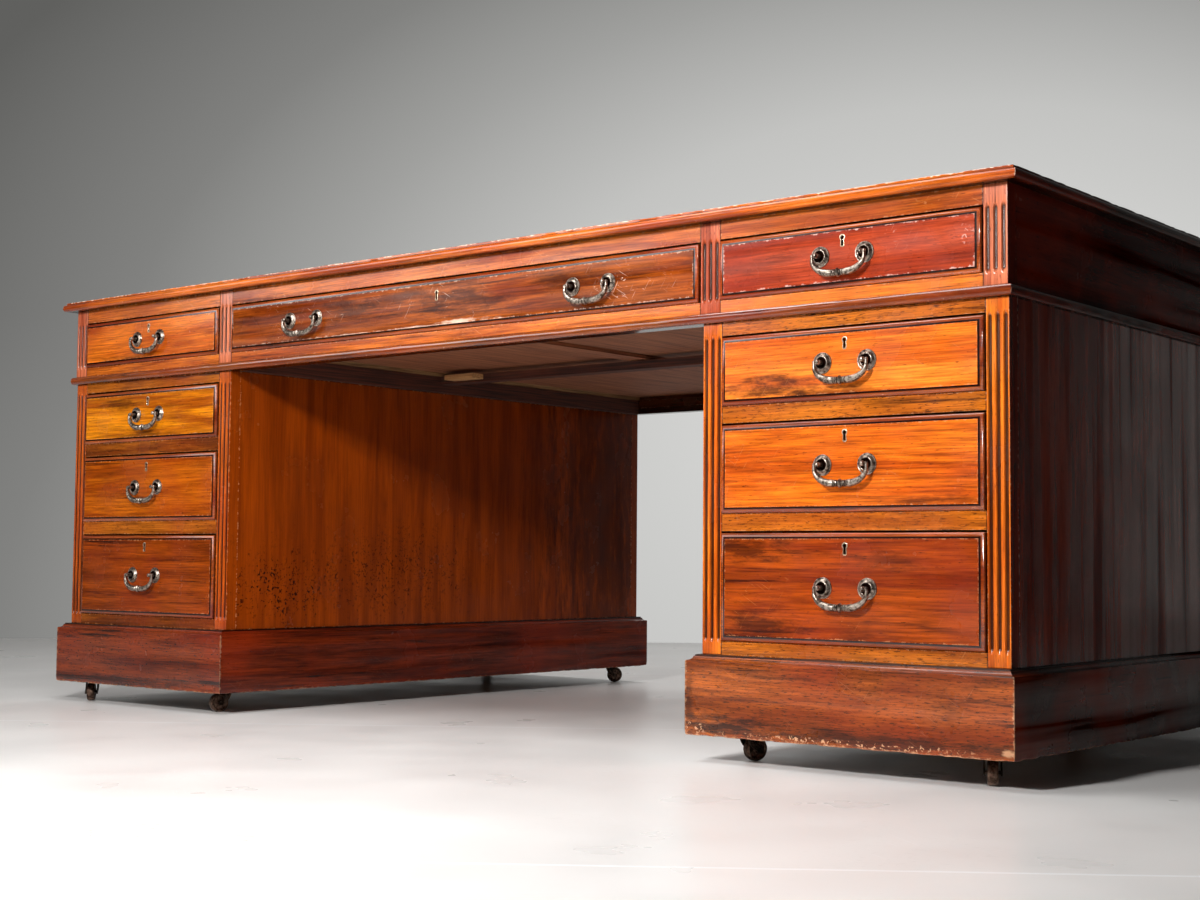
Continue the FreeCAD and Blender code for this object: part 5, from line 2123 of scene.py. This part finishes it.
@dataclass
class KeyholeLiner:
    """Brass thread let into the wood round a keyhole."""

    wall: float = 1.7 * MM
    proud: float = 0.35 * MM
    deep: float = 5 * MM

    def add(self, piece: Piece, place: Matrix) -> None:
        """Adds the liner; the place's -Y looks out of the wood."""
        bm = bmesh.new()
        loops = []
        for grow, y in (
            (self.wall, 0.4 * MM),
            (self.wall, -self.proud * 0.5),
            (self.wall - 0.3 * MM, -self.proud),
            (0.25 * MM, -self.proud),
            (0.0, -self.proud * 0.4),
            (0.0, self.deep),
        ):
            verts = [bm.verts.new((x, y, z)) for x, z in keyhole_points(grow)]
            loops.append(
                [bm.edges.new((a, b)) for a, b in zip(verts, verts[1:] + verts[:1])]
            )
        for before, after in zip(loops, loops[1:]):
            bmesh.ops.bridge_loops(bm, edges=before + after)
        bmesh.ops.recalc_face_normals(bm, faces=bm.faces[:])
        outward = sum((f.normal.y for f in bm.faces if abs(f.normal.y) > 0.9), 0.0)
        if outward > 0:
            bmesh.ops.reverse_faces(bm, faces=bm.faces[:])
        piece.add(bm, place)


@dataclass
class Drawer:
    """Drawer with a moulded front, its box, lock, rosettes and bails."""

    name: str
    face: Face
    finish: str
    handles: tuple[str, ...]
    side_gap: float = 1 * MM
    mould: float = 8 * MM
    proud: float = 6 * MM
    lip: float = 1 * MM
    quirk: float = 1.2 * MM
    flat: float = 0.8 * MM
    front_back: float = 16 * MM
    box_gap: float = 0.8 * MM
    side_thick: float = 11 * MM
    back_thick: float = 10 * MM
    bottom_thick: float = 8 * MM
    bottom_rise: float = 8 * MM
    top_drop: float = 6 * MM
    back_drop: float = 5 * MM
    muntin: float = 44 * MM
    muntin_drop: float = 0.8 * MM
    lock: tuple[float, float, float] = (62 * MM, 8 * MM, 40 * MM)

    def __post_init__(self) -> None:
        """Reads the drawer's place from its node."""
        self.node = f"{self.name}_drawer"
        self.low, self.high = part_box(self.node)
        self.width = self.high.x - self.low.x
        self.wide = len(self.handles) > 1
        proudest = self.low.y if self.face is Face.FRONT else -self.high.y
        handle = SwanNeckHandle()
        # the post is the proudest part of the node
        self.field_y = proudest + handle.pivot_proud + 4.6 * MM
        self.frame_y = self.field_y + self.proud
        self.turn = Matrix.Identity(4) if self.face is Face.FRONT else Matrix.Rotation(math.pi, 4, "Z")
        self.centre_x = (self.low.x + self.high.x) / 2 * (1 if self.face is Face.FRONT else -1)

    def profile(self) -> list[tuple[float, float]]:
        """Edge of the front as (inset, height above the frame's face)."""
        run = self.mould - self.flat
        rise = self.proud - self.quirk - self.lip
        steps = 8
        points = []
        for step in range(steps + 1):
            turn = math.pi / 2 * step / steps
            points.append((run * (1 - math.cos(turn)), self.lip + rise * math.sin(turn)))
        points.append((self.mould, self.proud - self.quirk))
        points.append((self.mould, self.proud - 0.5 * MM))
        points.append((self.mould + 0.15 * MM, self.proud - 0.15 * MM))
        points.append((self.mould + 0.5 * MM, self.proud))
        return points

    def front(self) -> BMesh:
        """Works the front, with its moulded edge and the keyhole, about the middle of its width.

        Returns:
            A bmesh of it.
        """
        half_x = self.width / 2 - (self.side_gap - self.box_gap)
        low, high = self.low.z, self.high.z
        half_z = (high - low) / 2
        middle = Vector((0, 0, (low + high) / 2))
        bm = mitred_loft(
            half_x, half_z, [(0.0, -self.front_back)] + self.profile(), hollow=False
        )
        upright = Matrix.Rotation(math.pi / 2, 4, "X")
        bmesh.ops.transform(bm, matrix=upright, verts=bm.verts[:])
        bmesh.ops.translate(bm, vec=middle + Vector((0, self.frame_y, 0)), verts=bm.verts[:])
        self.pierce(bm)
        # painted shade in the quirk and in the gap round the front
        soiled_and_shaded(bm, self.dirt_and_shade)
        return bm

    def dirt_and_shade(self, place: Vector) -> float:
        """Painted shade in the quirk round the field and on the edges inside the opening."""
        if place.y > self.frame_y - self.lip - 0.1 * MM:
            return 0.8
        return 0.95 if abs(place.y - self.field_y - self.quirk) < 0.1 * MM else 0.0

    def keyhole_z(self) -> float:
        """Height of the keyhole's head."""
        return self.high.z - (23.2 * MM if self.wide else 17.4 * MM)

    def pierce(self, bm: BMesh) -> None:
        """Cuts the keyhole through the front."""
        bm.faces.ensure_lookup_table()
        centre = Vector((0, 0, self.keyhole_z()))
        rims = []
        for y in (self.field_y, self.frame_y + self.front_back):
            flat = [f for f in bm.faces if abs(f.calc_center_median().y - y) < 1e-6]
            face = max(flat, key=lambda f: f.calc_area())
            outer = face.edges[:]
            verts = [
                bm.verts.new((centre.x + x, y, centre.z + z)) for x, z in keyhole_points(0.0)
            ]
            rim = [bm.edges.new((a, b)) for a, b in zip(verts, verts[1:] + verts[:1])]
            bmesh.ops.delete(bm, geom=[face], context="FACES_ONLY")
            bmesh.ops.triangle_fill(bm, edges=outer + rim, use_beauty=True, use_dissolve=False)
            rims.append(rim)
        bmesh.ops.bridge_loops(bm, edges=rims[0] + rims[1])
        bmesh.ops.recalc_face_normals(bm, faces=bm.faces[:])

    def add_box(self, finishes: Finishes) -> None:
        """Builds sides, back, bottom and lock."""
        half = self.width / 2
        inner = half - self.side_thick
        low, high = self.low.z, self.high.z - self.top_drop
        start = self.frame_y + self.front_back
        end = self.high.y if self.face is Face.FRONT else -self.low.y
        floor = low + self.bottom_rise
        top = floor + self.bottom_thick
        sides = [
            corners((inner, half), (start, end), (low, high)),
            corners((-half, -inner), (start, end), (low, high)),
        ]
        back = corners((-inner, inner), (end - self.back_thick, end), (top, high - self.back_drop))
        bottoms = [corners((-inner, inner), (start, end), (floor, top))]
        if self.wide:
            rib = self.muntin / 2
            bottoms = [
                corners((-rib, rib), (start, end), (low + self.muntin_drop, top)),
                corners((rib, inner), (start, end), (floor, top)),
                corners((-inner, -rib), (start, end), (floor, top)),
            ]
        walls = Piece(f"{self.name}_drawer_box", self.node, "inner_oak", "drawer_oak")
        walls.add_planks([self.placed(span) for span in sides], Grain.ALONG_Y)
        walls.add_planks([self.placed(back)], Grain.ALONG_X)
        walls.finish_off(finishes)
        base = Piece(f"{self.name}_drawer_bottom", self.node, "inner_oak", "drawer_bottom_pine")
        base.add_planks([self.placed(span) for span in bottoms], Grain.ALONG_Y, 0.3 * MM)
        base.finish_off(finishes)
        lock = Piece(f"{self.name}_lock", self.node, "handle_bronze", "lock_steel")
        wide, deep, tall = self.lock
        body = corners((-wide / 2, wide / 2), (start, start + deep), (high - tall, high))
        lock.add(plank(*self.placed(body), 0.6 * MM))
        lock.finish_off(finishes)

    @staticmethod
    def on_moulding(face: bmesh.types.BMFace, fielded: Box) -> bool:
        """True for a face of the moulded edge."""
        middle = face.calc_center_median()
        low, high = fielded
        return not (low.x < middle.x < high.x and low.z < middle.z < high.z)

    def placed(self, span: Box) -> Box:
        """Moves a span drawn about the middle of a front drawer to this drawer's place."""
        shift = Matrix.Translation((self.centre_x, 0, 0))
        ends = [self.turn @ shift @ corner for corner in span]
        return corners(*[[end[axis] for end in ends] for axis in range(3)])

    def build(self, finishes: Finishes) -> None:
        """Builds the whole drawer."""
        place = self.turn @ Matrix.Translation((self.centre_x, 0, 0))
        front = self.front()
        bmesh.ops.transform(front, matrix=place, verts=front.verts[:])
        span = corners(
            [v.co.x for v in front.verts],
            [v.co.y for v in front.verts],
            [v.co.z for v in front.verts],
        )
        piece = Piece(
            f"{self.name}_drawer_front",
            self.node,
            "mahogany_drawer",
            self.finish,
            "moulding_mahogany",
        )
        inset = Vector((self.mould, 0, self.mould))
        fielded = (span[0] + inset, span[1] - inset)
        # the moulded edge takes the darker finish: grime and painted shade
        moulded = [face for face in front.faces if self.on_moulding(face, fielded)]
        field = set(front.faces) - set(moulded)
        for face in moulded:
            face.material_index = 1
        piece.lay_grain(front, moulded, span, Grain.ALONG_X)
        piece.lay_grain(front, field, fielded, Grain.ALONG_X)
        piece.add(front)
        piece.finish_off(finishes, self.node)
        self.add_box(finishes)
        liner = Piece(f"{self.name}_keyhole_liner", self.node, "handle_bronze", "keyhole_brass")
        KeyholeLiner().add(
            liner, place @ Matrix.Translation((0, self.field_y, self.keyhole_z()))
        )
        liner.finish_off(finishes)
        plates = Piece(f"{self.name}_rosettes", self.node, "handle_bronze", "handle_bronze")
        handle = SwanNeckHandle()
        for node in self.handles:
            low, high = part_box(node)
            middle = (low + high) / 2
            pivot = Matrix.Translation((middle.x, middle.y, low.z + handle.reach)) @ self.turn
            handle.rosettes(plates, pivot)
            bail = Piece(f"{node}_cast", node, "handle_bronze", "handle_bronze")
            handle.bail(bail, pivot)
            bail.finish_off(finishes, node)
        plates.finish_off(finishes)


# ---------------------------------------------------------------- cupboard doors


@dataclass
class CupboardDoor:
    """Framed door with a fielded panel, in the back of a pedestal."""

    side: str
    thick: float = 20 * MM
    stile: float = 56 * MM
    rail: float = 60 * MM
    panel_thick: float = 9 * MM
    panel_bevel: float = 26 * MM
    panel_rise: float = 5 * MM
    panel_fillet: float = 1 * MM
    set_back: float = 4 * MM
    pin_proud: float = 3.5 * MM
    knuckle: float = 3 * MM
    hinge_inset: float = 70 * MM
    gap: float = 1.5 * MM

    def build(self, finishes: Finishes) -> None:
        """Builds the door on its body."""
        node = f"{self.side}_cupboard_door"
        low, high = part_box(node)
        joint = next(j for j in frame["joints"] if j["name"] == f"{node}_hinge")
        pin = joint["pos_m"]
        face = pin[1] - self.pin_proud
        y = (face - self.thick, face)
        hinge_left = self.side == "left"
        x = (pin[0], high.x) if hinge_left else (low.x, pin[0])
        inner = (x[0] + self.stile, x[1] - self.stile)
        piece = Piece(f"{node}_frame", node, "mahogany_carcass", "left_stile_mahogany")
        stiles = [corners((x[0], inner[0]), y, (low.z, high.z)), corners((inner[1], x[1]), y, (low.z, high.z))]
        piece.add_planks(stiles, Grain.UPRIGHT, 0.8 * MM)
        rails = [
            corners(inner, y, (low.z, low.z + self.rail)),
            corners(inner, y, (high.z - self.rail, high.z)),
        ]
        piece.add_planks(rails, Grain.ALONG_X, 0.8 * MM)
        piece.finish_off(finishes, node)
        panel = Piece(f"{node}_panel", node, "mahogany_carcass", "left_middle_front")
        half_x = (inner[1] - inner[0]) / 2
        half_z = (high.z - low.z) / 2 - self.rail
        profile = [
            (0.0, -self.panel_thick),
            (0.0, -self.panel_rise),
            (self.panel_bevel, -self.panel_fillet),
            (self.panel_bevel, -0.3 * MM),
            (self.panel_bevel + 0.4 * MM, 0.0),
        ]
        bm = mitred_loft(half_x, half_z, profile, hollow=False)
        out = Matrix.Translation((sum(inner) / 2, face - self.set_back, (low.z + high.z) / 2))
        bmesh.ops.transform(
            bm, matrix=out @ Matrix.Rotation(-math.pi / 2, 4, "X"), verts=bm.verts[:]
        )
        span = corners(
            inner, (face - self.set_back - self.panel_thick, face - self.set_back),
            (low.z + self.rail, high.z - self.rail),
        )
        panel.add_board(bm, span, Grain.UPRIGHT)
        panel.finish_off(finishes)
        brass = Piece(f"{node}_hinges", node, "handle_bronze", "hinge_brass")
        bottom, top = low.z - self.gap, high.z + self.gap
        for level in (bottom + self.hinge_inset, top - self.hinge_inset):
            Hinge(self.side, level).add_half(brass, upper=True)
        free = x[1] - self.stile / 2 if hinge_left else x[0] + self.stile / 2
        looks_back = Matrix.Rotation(math.pi, 4, "Z")
        KeyholeLiner(deep=0.1 * MM).add(
            brass, Matrix.Translation((free, face, (low.z + high.z) / 2)) @ looks_back
        )
        brass.finish_off(finishes)


# ---------------------------------------------------------------- casters


@dataclass
class Caster:
    """Horn caster: two curved cheeks under a crown, with a broad wheel."""

    name: str
    crown: float = 13 * MM
    crown_thick: float = 3.2 * MM
    trail: float = 14 * MM
    wheel_radius: float = 17 * MM
    wheel_thick: float = 14 * MM
    cheek_in: float = 9.5 * MM
    cheek_thick: float = 2.5 * MM
    cheek_end: float = 5 * MM
    axle: float = 2.4 * MM

    def build(self, finishes: Finishes) -> None:
        """Builds the fork and the wheel on their bodies."""
        fork_body, wheel_body = f"{self.name}_caster_fork", f"{self.name}_caster_wheel"
        joints = {j["name"]: j for j in frame["joints"]}
        pivot = Vector(joints[f"{self.name}_caster_swivel"]["pos_m"])
        hub = Vector(joints[f"{self.name}_wheel_spin"]["pos_m"])
        heading = math.atan2(hub.y - pivot.y, hub.x - pivot.x)
        place = Matrix.Translation((pivot.x, pivot.y, 0)) @ Matrix.Rotation(heading, 4, "Z")
        top = pivot.z
        fork = Piece(f"{fork_body}_horns", fork_body, "caster_brass", "caster_iron")
        crown = [
            (top - self.crown_thick - 0.6 * MM, 0.0),
            (top - self.crown_thick - 0.6 * MM, self.crown - 4 * MM),
            (top - self.crown_thick, self.crown - 1.2 * MM),
            (top - self.crown_thick * 0.6, self.crown),
            (top - 0.8 * MM, self.crown),
            (top, self.crown - 0.8 * MM),
            (top, 0.0),
        ]
        fork.add(turned(crown, 28), place.copy())
        for sign in (-1, 1):
            y = self.cheek_in if sign > 0 else -self.cheek_in - self.cheek_thick
            cheek = outline(self.horn(top - self.crown_thick), y, self.cheek_thick)
            ease(cheek, cheek.edges[:], 0.5 * MM)
            fork.add(cheek, place.copy())
        half = self.cheek_in + self.cheek_thick
        axle = [
            (-half - 0.0, 0.0),
            (-half, self.axle),
            (half, self.axle),
            (half, 0.0),
        ]
        lying = Matrix.Rotation(math.pi / 2, 4, "X")
        at_hub = Matrix.Translation((self.trail, 0, self.wheel_radius))
        fork.add(turned(axle, 16), place @ at_hub @ lying)
        fork.finish_off(finishes, fork_body)
        wheel = Piece(f"{wheel_body}_turned", wheel_body, "caster_wheel", "wheel_brass")
        wheel.add(turned(self.tread(), 48), place @ at_hub @ lying)
        wheel.finish_off(finishes, wheel_body)

    def horn(self, top: float) -> list[tuple[float, float]]:
        """Outline of one cheek, curved like a horn from the crown to the axle."""
        steps = 8
        end = self.cheek_end
        front, back = [], []
        for step in range(steps + 1):
            turn = math.pi / 2 * step / steps
            drop = math.sin(turn)
            lean = 1 - math.cos(turn)
            back.append(
                (
                    -self.crown * 0.55 + (self.trail - end + self.crown * 0.55) * lean,
                    top - (top - self.wheel_radius) * drop,
                )
            )
            front.append(
                (
                    self.crown * 0.5 + (self.trail + end - self.crown * 0.5) * lean,
                    top - (top - self.wheel_radius) * drop,
                )
            )
        round_end = []
        for step in range(1, steps):
            turn = math.pi + math.pi * step / steps
            round_end.append(
                (self.trail + end * math.cos(turn), self.wheel_radius + end * math.sin(turn))
            )
        return back + round_end + front[::-1]

    def tread(self) -> list[tuple[float, float]]:
        """Profile of the wheel along its axle: bore, recessed side, rounded tread."""
        half, radius = self.wheel_thick / 2, self.wheel_radius
        bore = self.axle + 0.3 * MM
        one = [
            (half - 0.6 * MM, bore),
            (half, bore + 0.6 * MM),
            (half, bore + 3 * MM),
            (half - 1.6 * MM, bore + 4.2 * MM),
            (half - 1.8 * MM, radius - 5.5 * MM),
            (half - 0.5 * MM, radius - 4 * MM),
            (half, radius - 3.2 * MM),
            (half - 0.3 * MM, radius - 1.6 * MM),
            (half - 1.6 * MM, radius - 0.4 * MM),
            (half - 3.4 * MM, radius),
        ]
        other = [(-height, r) for height, r in reversed(one)]
        return one + other + [one[0]]


# ---------------------------------------------------------------- studio


@dataclass
class Studio:
    """Pale floor, two walls that glow with a painted pool of light, a flat that glows only in reflections,
    soft lamps and the camera.
    """

    camera_place: Vector = field(default_factory=lambda: Vector((1.99896, -2.6198, 0.2824)))
    yaw: float = 39.38  # degrees, from looking along +Y towards -X
    pitch: float = 3.55
    roll: float = 0.45
    lens: float = 52.774  # on a 36 mm sensor
    wall_distance: float = 6.02
    corner_left: float = 1.46  # of the wall's middle, where the second wall starts
    wall_end: float = 7.9  # to the right of the wall's middle
    sheet_width: float = 1.316
    seam: float = 0.336  # how far the nearest seam lies in front of the origin

    def axes(self) -> Matrix:
        """Turn of the camera."""
        level = Matrix.Rotation(math.radians(self.yaw), 4, "Z")
        up = Matrix.Rotation(math.radians(90 + self.pitch), 4, "X")
        return level @ up @ Matrix.Rotation(math.radians(self.roll), 4, "Z")

    def add_camera(self) -> None:
        """Adds the camera."""
        data = bpy.data.cameras.new("camera")
        data.lens = self.lens
        data.sensor_width = 36.0
        camera = bpy.data.objects.new("camera", data)
        camera.matrix_world = Matrix.Translation(self.camera_place) @ self.axes()
        bpy.context.scene.collection.objects.link(camera)
        bpy.context.scene.camera = camera

    def add_sheet(self, name: str, place: Matrix, size: tuple[float, float]) -> bpy.types.Object:
        """Adds a flat sheet of the set.

        Args:
            name: Name of the sheet.
            place: Matrix that places a unit sheet that lies in its own XY plane.
            size: Half its width and half its height.

        Returns:
            The object.
        """
        bm = bmesh.new()
        bmesh.ops.create_grid(bm, x_segments=1, y_segments=1, size=1.0)
        bmesh.ops.scale(bm, vec=(*size, 1.0), verts=bm.verts[:])
        bmesh.ops.transform(bm, matrix=place, verts=bm.verts[:])
        mesh = bpy.data.meshes.new(name)
        bm.to_mesh(mesh)
        bm.free()
        sheet = bpy.data.objects.new(name, mesh)
        bpy.context.scene.collection.objects.link(sheet)
        return sheet

    def floor_material(self) -> bpy.types.Material:
        """Sheet flooring, welded at its seams and painted: pale, satin, with a few scuffs."""
        material, tree = new_material("sealed_floor_paint")
        place = add_node(tree, "ShaderNodeTexCoord").outputs["Object"]
        patch = speckle(tree, place, 0.5, Detail=5.0)
        colour = add_node(
            tree, "ShaderNodeValToRGB", {0: patch}, stops=[(0.3, "#ebe8e5"), (0.7, "#f3f1ee")]
        ).outputs[0]
        turned_place = {"Vector": place, "Rotation": (0, 0, math.radians(36))}
        turned_place = add_node(
            tree, "ShaderNodeMapping", turned_place, vector_type="TEXTURE"
        ).outputs[0]
        axes = add_node(tree, "ShaderNodeSeparateXYZ", {0: turned_place}).outputs
        across = maths(tree, "ADD", axes[1], self.seam)
        seam = maths(tree, "PINGPONG", across, self.sheet_width / 2)
        seam = ranged(tree, seam, (2.5 * MM, 5 * MM, 1.0, 0.0))
        busy = ranged(tree, speckle(tree, place, 0.3, Detail=3.0), (0.5, 0.62, 0.0, 1.0))
        for turn, length, width, share, tone in (
            (20, 40 * MM, 1.4 * MM, 0.4, "#8f8b86"),
            (-35, 90 * MM, 1.6 * MM, 0.5, "#ffffff"),
            (70, 14 * MM, 2.0 * MM, 0.3, "#9a958f"),
        ):
            stroke = {
                "Vector": place,
                "Rotation": (0, 0, math.radians(turn)),
                "Scale": (length, width, 1.0),
            }
            stroke = add_node(
                tree, "ShaderNodeMapping", stroke, vector_type="TEXTURE"
            ).outputs[0]
            stroke = {"Vector": stroke, "Scale": 1.0, "Detail": 1.0}
            stroke = add_node(tree, "ShaderNodeTexNoise", stroke).outputs["Fac"]
            mark = ranged(tree, stroke, (0.7, 0.76, 0.0, share))
            colour = blend(tree, maths(tree, "MULTIPLY", mark, busy), colour, tone)
        colour = blend(tree, seam, colour, "#ffffff")
        dull = ranged(tree, speckle(tree, place, 0.2, Detail=4.0), (0.3, 0.7, 0.26, 0.4))
        height = {"Strength": 0.5, "Distance": 0.6 * MM, "Height": seam}
        shader = {
            "Base Color": colour,
            "Roughness": dull,
            "IOR": 1.45,
            "Normal": add_node(tree, "ShaderNodeBump", height).outputs[0],
        }
        shader = add_node(tree, "ShaderNodeBsdfPrincipled", shader)
        add_node(tree, "ShaderNodeOutputMaterial", {"Surface": shader.outputs[0]})
        return material

    def wall_glow_material(self, glow: Vector) -> bpy.types.Material:
        """Wall that glows with a painted pool of light: camera, glossy and transmission rays see a colour that
        darkens away from the pool's middle; other rays see a matt grey.

        Args:
            glow: Middle of the painted pool of light on the wall.

        Returns:
            The material; only its front side shows.
        """
        material, tree = new_material("matt_wall_paint")
        place = add_node(tree, "ShaderNodeTexCoord").outputs["Object"]
        away = add_node(
            tree, "ShaderNodeVectorMath", {0: place, 1: glow}, operation="SUBTRACT"
        ).outputs[0]
        away = add_node(
            tree, "ShaderNodeVectorMath", {0: away, 1: (1, 1, 1.6)}, operation="MULTIPLY"
        ).outputs[0]
        away = add_node(
            tree, "ShaderNodeVectorMath", {0: away}, operation="LENGTH"
        ).outputs["Value"]
        height = add_node(tree, "ShaderNodeSeparateXYZ", {0: place}).outputs[2]
        away = maths(tree, "MULTIPLY", away, ranged(tree, height, (0.0, 1.1, 0.84, 1.02)))
        reach = ranged(tree, away, (0.0, 4.4, 0.0, 1.0))
        colour = add_node(
            tree,
            "ShaderNodeValToRGB",
            {0: reach},
            stops=[
                (0.16, "#d6d6d4"),
                (0.39, "#c3c3c1"),
                (0.56, "#a0a09e"),
                (0.7, "#81817f"),
                (0.91, "#60605e"),
            ],
        ).outputs[0]
        path = add_node(tree, "ShaderNodeLightPath").outputs
        seen = add_node(
            tree,
            "ShaderNodeMath",
            {0: path["Is Camera Ray"], 1: path["Is Glossy Ray"]},
            operation="MAXIMUM",
        ).outputs[0]
        seen = add_node(
            tree,
            "ShaderNodeMath",
            {0: seen, 1: path["Is Transmission Ray"]},
            operation="MAXIMUM",
        ).outputs[0]
        # the painted pool of light: an emission in place of a lamp's light
        lit = add_node(tree, "ShaderNodeEmission", {"Color": colour, "Strength": 1.0}).outputs[0]
        matt = add_node(tree, "ShaderNodeBsdfDiffuse", {"Color": "#9a9a98"}).outputs[0]
        front = add_node(tree, "ShaderNodeMixShader", {0: seen, 1: matt, 2: lit}).outputs[0]
        back = add_node(tree, "ShaderNodeNewGeometry").outputs["Backfacing"]
        clear = add_node(tree, "ShaderNodeBsdfTransparent").outputs[0]
        shown = add_node(tree, "ShaderNodeMixShader", {0: back, 1: front, 2: clear}).outputs[0]
        add_node(tree, "ShaderNodeOutputMaterial", {"Surface": shown})
        return material

    def reflection_flat_material(self) -> bpy.types.Material:
        """Flat out of sight that glows in grey upright streaks for glossy rays only: a painted reflection on
        the desk's side; other rays see a matt grey.
        """
        material, tree = new_material("flat_white_paint")
        place = add_node(tree, "ShaderNodeTexCoord").outputs["Object"]
        upright = vectors(tree, "MULTIPLY", place, (1, 1, 0.06))
        patch = speckle(tree, upright, 0.3, Detail=2.0)
        colour = add_node(
            tree, "ShaderNodeValToRGB", {0: patch}, stops=[(0.4, "#5a5a58"), (0.62, "#c0beba")]
        ).outputs[0]
        path = add_node(tree, "ShaderNodeLightPath").outputs
        lit = add_node(tree, "ShaderNodeEmission", {"Color": colour, "Strength": 1.0}).outputs[0]
        matt = add_node(tree, "ShaderNodeBsdfDiffuse", {"Color": "#9a9a98"}).outputs[0]
        shown = {0: path["Is Glossy Ray"], 1: matt, 2: lit}
        shown = add_node(tree, "ShaderNodeMixShader", shown).outputs[0]
        add_node(tree, "ShaderNodeOutputMaterial", {"Surface": shown})
        return material

    def add_lamp(
        self, name: str, place: Vector, aim: Vector, size: tuple[float, float], power: float
    ) -> None:
        """Adds a soft lamp.

        Args:
            name: Name of the lamp.
            place: Where it hangs.
            aim: Point that it faces.
            size: Width and height of its panel.
            power: Watts.
        """
        data = bpy.data.lights.new(name, "AREA")
        data.shape = "RECTANGLE"
        data.size, data.size_y = size
        data.energy = power
        lamp = bpy.data.objects.new(name, data)
        turn = (aim - place).to_track_quat("-Z", "Y").to_matrix().to_4x4()
        lamp.matrix_world = Matrix.Translation(place) @ turn
        lamp.visible_camera = False
        bpy.context.scene.collection.objects.link(lamp)

    def build(self) -> None:
        """Builds the set."""
        self.add_camera()
        floor = self.add_sheet("floor", Matrix.Identity(4), (14, 14))
        floor.data.materials.append(self.floor_material())
        level = Matrix.Rotation(math.radians(self.yaw), 4, "Z")
        ahead = level @ Vector((0, 1, 0))
        right = level @ Vector((1, 0, 0))
        middle = Vector((*self.camera_place.xy, 0)) + ahead * self.wall_distance
        facing = level @ Matrix.Rotation(math.pi / 2, 4, "X")
        wide = (self.wall_end + self.corner_left) / 2
        centre = middle + right * ((self.wall_end - self.corner_left) / 2) + Vector((0, 0, 3))
        wall = self.add_sheet("wall", Matrix.Translation(centre) @ facing, (wide, 3))
        # middle of the painted pool of light on the wall
        glow = middle + right * 1.37 + Vector((0, 0, 0.82))
        painted_wall_glow = self.wall_glow_material(glow)
        wall.data.materials.append(painted_wall_glow)
        angle = Matrix.Rotation(math.radians(7), 4, "Z")
        along = angle @ right
        start = middle - right * self.corner_left
        centre = start - along * 4 + Vector((0, 0, 3))
        second = self.add_sheet("second_wall", Matrix.Translation(centre) @ angle @ facing, (4, 3))
        second.data.materials.append(painted_wall_glow)
        # a glowing flat that only reflections see, painting reflected streaks on the desk's right side
        centre = middle - ahead * 0.1 + right * 6.2 + Vector((0, 0, 0.8))
        flat = self.add_sheet("white_flat", Matrix.Translation(centre) @ facing, (1.25, 0.8))
        flat.data.materials.append(self.reflection_flat_material())
        self.add_lamp(
            "key", Vector((0.65, -2.4, 1.29)), Vector((0.15, -0.7, 0.8)), (0.24, 0.24), 49
        )
        self.add_lamp("fill", Vector((-2.9, -3.7, 1.95)), Vector((0, -0.6, 0.6)), (2.4, 1.4), 42)
        self.add_lamp("top", Vector((0.05, -1.15, 1.8)), Vector((0.05, -1.15, 0)), (0.8, 0.8), 17)
        self.add_lamp("rear", Vector((-0.9, 1.5, 2.7)), Vector((-0.2, 0.3, 0)), (1.2, 1.2), 30)
        world = bpy.data.worlds.new("studio_air")
        world.use_nodes = True
        world.node_tree.nodes.clear()
        air = add_node(
            world.node_tree, "ShaderNodeBackground", {"Color": "#c8c8c6", "Strength": 0.04}
        )
        add_node(world.node_tree, "ShaderNodeOutputWorld", {"Surface": air.outputs[0]})
        bpy.context.scene.world = world
        bpy.context.scene.view_settings.view_transform = "Standard"


# ---------------------------------------------------------------- the whole desk


@dataclass
class PartnersDesk:
    """The whole desk, built piece by piece."""

    finishes: Finishes = field(default_factory=Finishes)
    frieze_fronts: tuple[tuple[str, str], ...] = (
        ("left", "left_frieze_front"),
        ("centre", "centre_frieze_front"),
        ("right", "right_frieze_front"),
    )
    def drawers(self) -> list[Drawer]:
        """Every drawer with its face, finish and handles."""
        made = []
        for face in Face:
            side = face.name.lower()
            for place, finish in self.frieze_fronts:
                name = f"{side}_frieze_{place}"
                if place == "centre":
                    handles = (f"{name}_left_bail", f"{name}_right_bail")
                else:
                    handles = (f"{name}_bail",)
                made.append(Drawer(name, face, finish, handles))
        for side in ("left", "right"):
            for level in ("top", "middle", "bottom"):
                name = f"{side}_{level}"
                made.append(Drawer(name, Face.FRONT, f"{name}_front", (f"{name}_bail",)))
        return made

    def build(self) -> None:
        """Builds every piece."""
        WritingTop().build(self.finishes)
        Frieze().build(self.finishes)
        for side in ("left", "right"):
            Pedestal(side).build(self.finishes)
            CupboardDoor(side).build(self.finishes)
            for row in ("front", "back"):
                for column in ("inner", "outer"):
                    Caster(f"{side}_{row}_{column}").build(self.finishes)
        for drawer in self.drawers():
            drawer.build(self.finishes)
        plates = frame["nodes"]["caster_plates"]
        plates.data.materials.clear()
        plates.data.materials.append(self.finishes.get("caster_iron"))


def main() -> None:
    """Builds the studio and the desk."""
    logging.basicConfig(level=logging.INFO, format="%(message)s")
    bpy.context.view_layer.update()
    Studio().build()
    PartnersDesk().build()


if __name__ == "__main__":
    main()
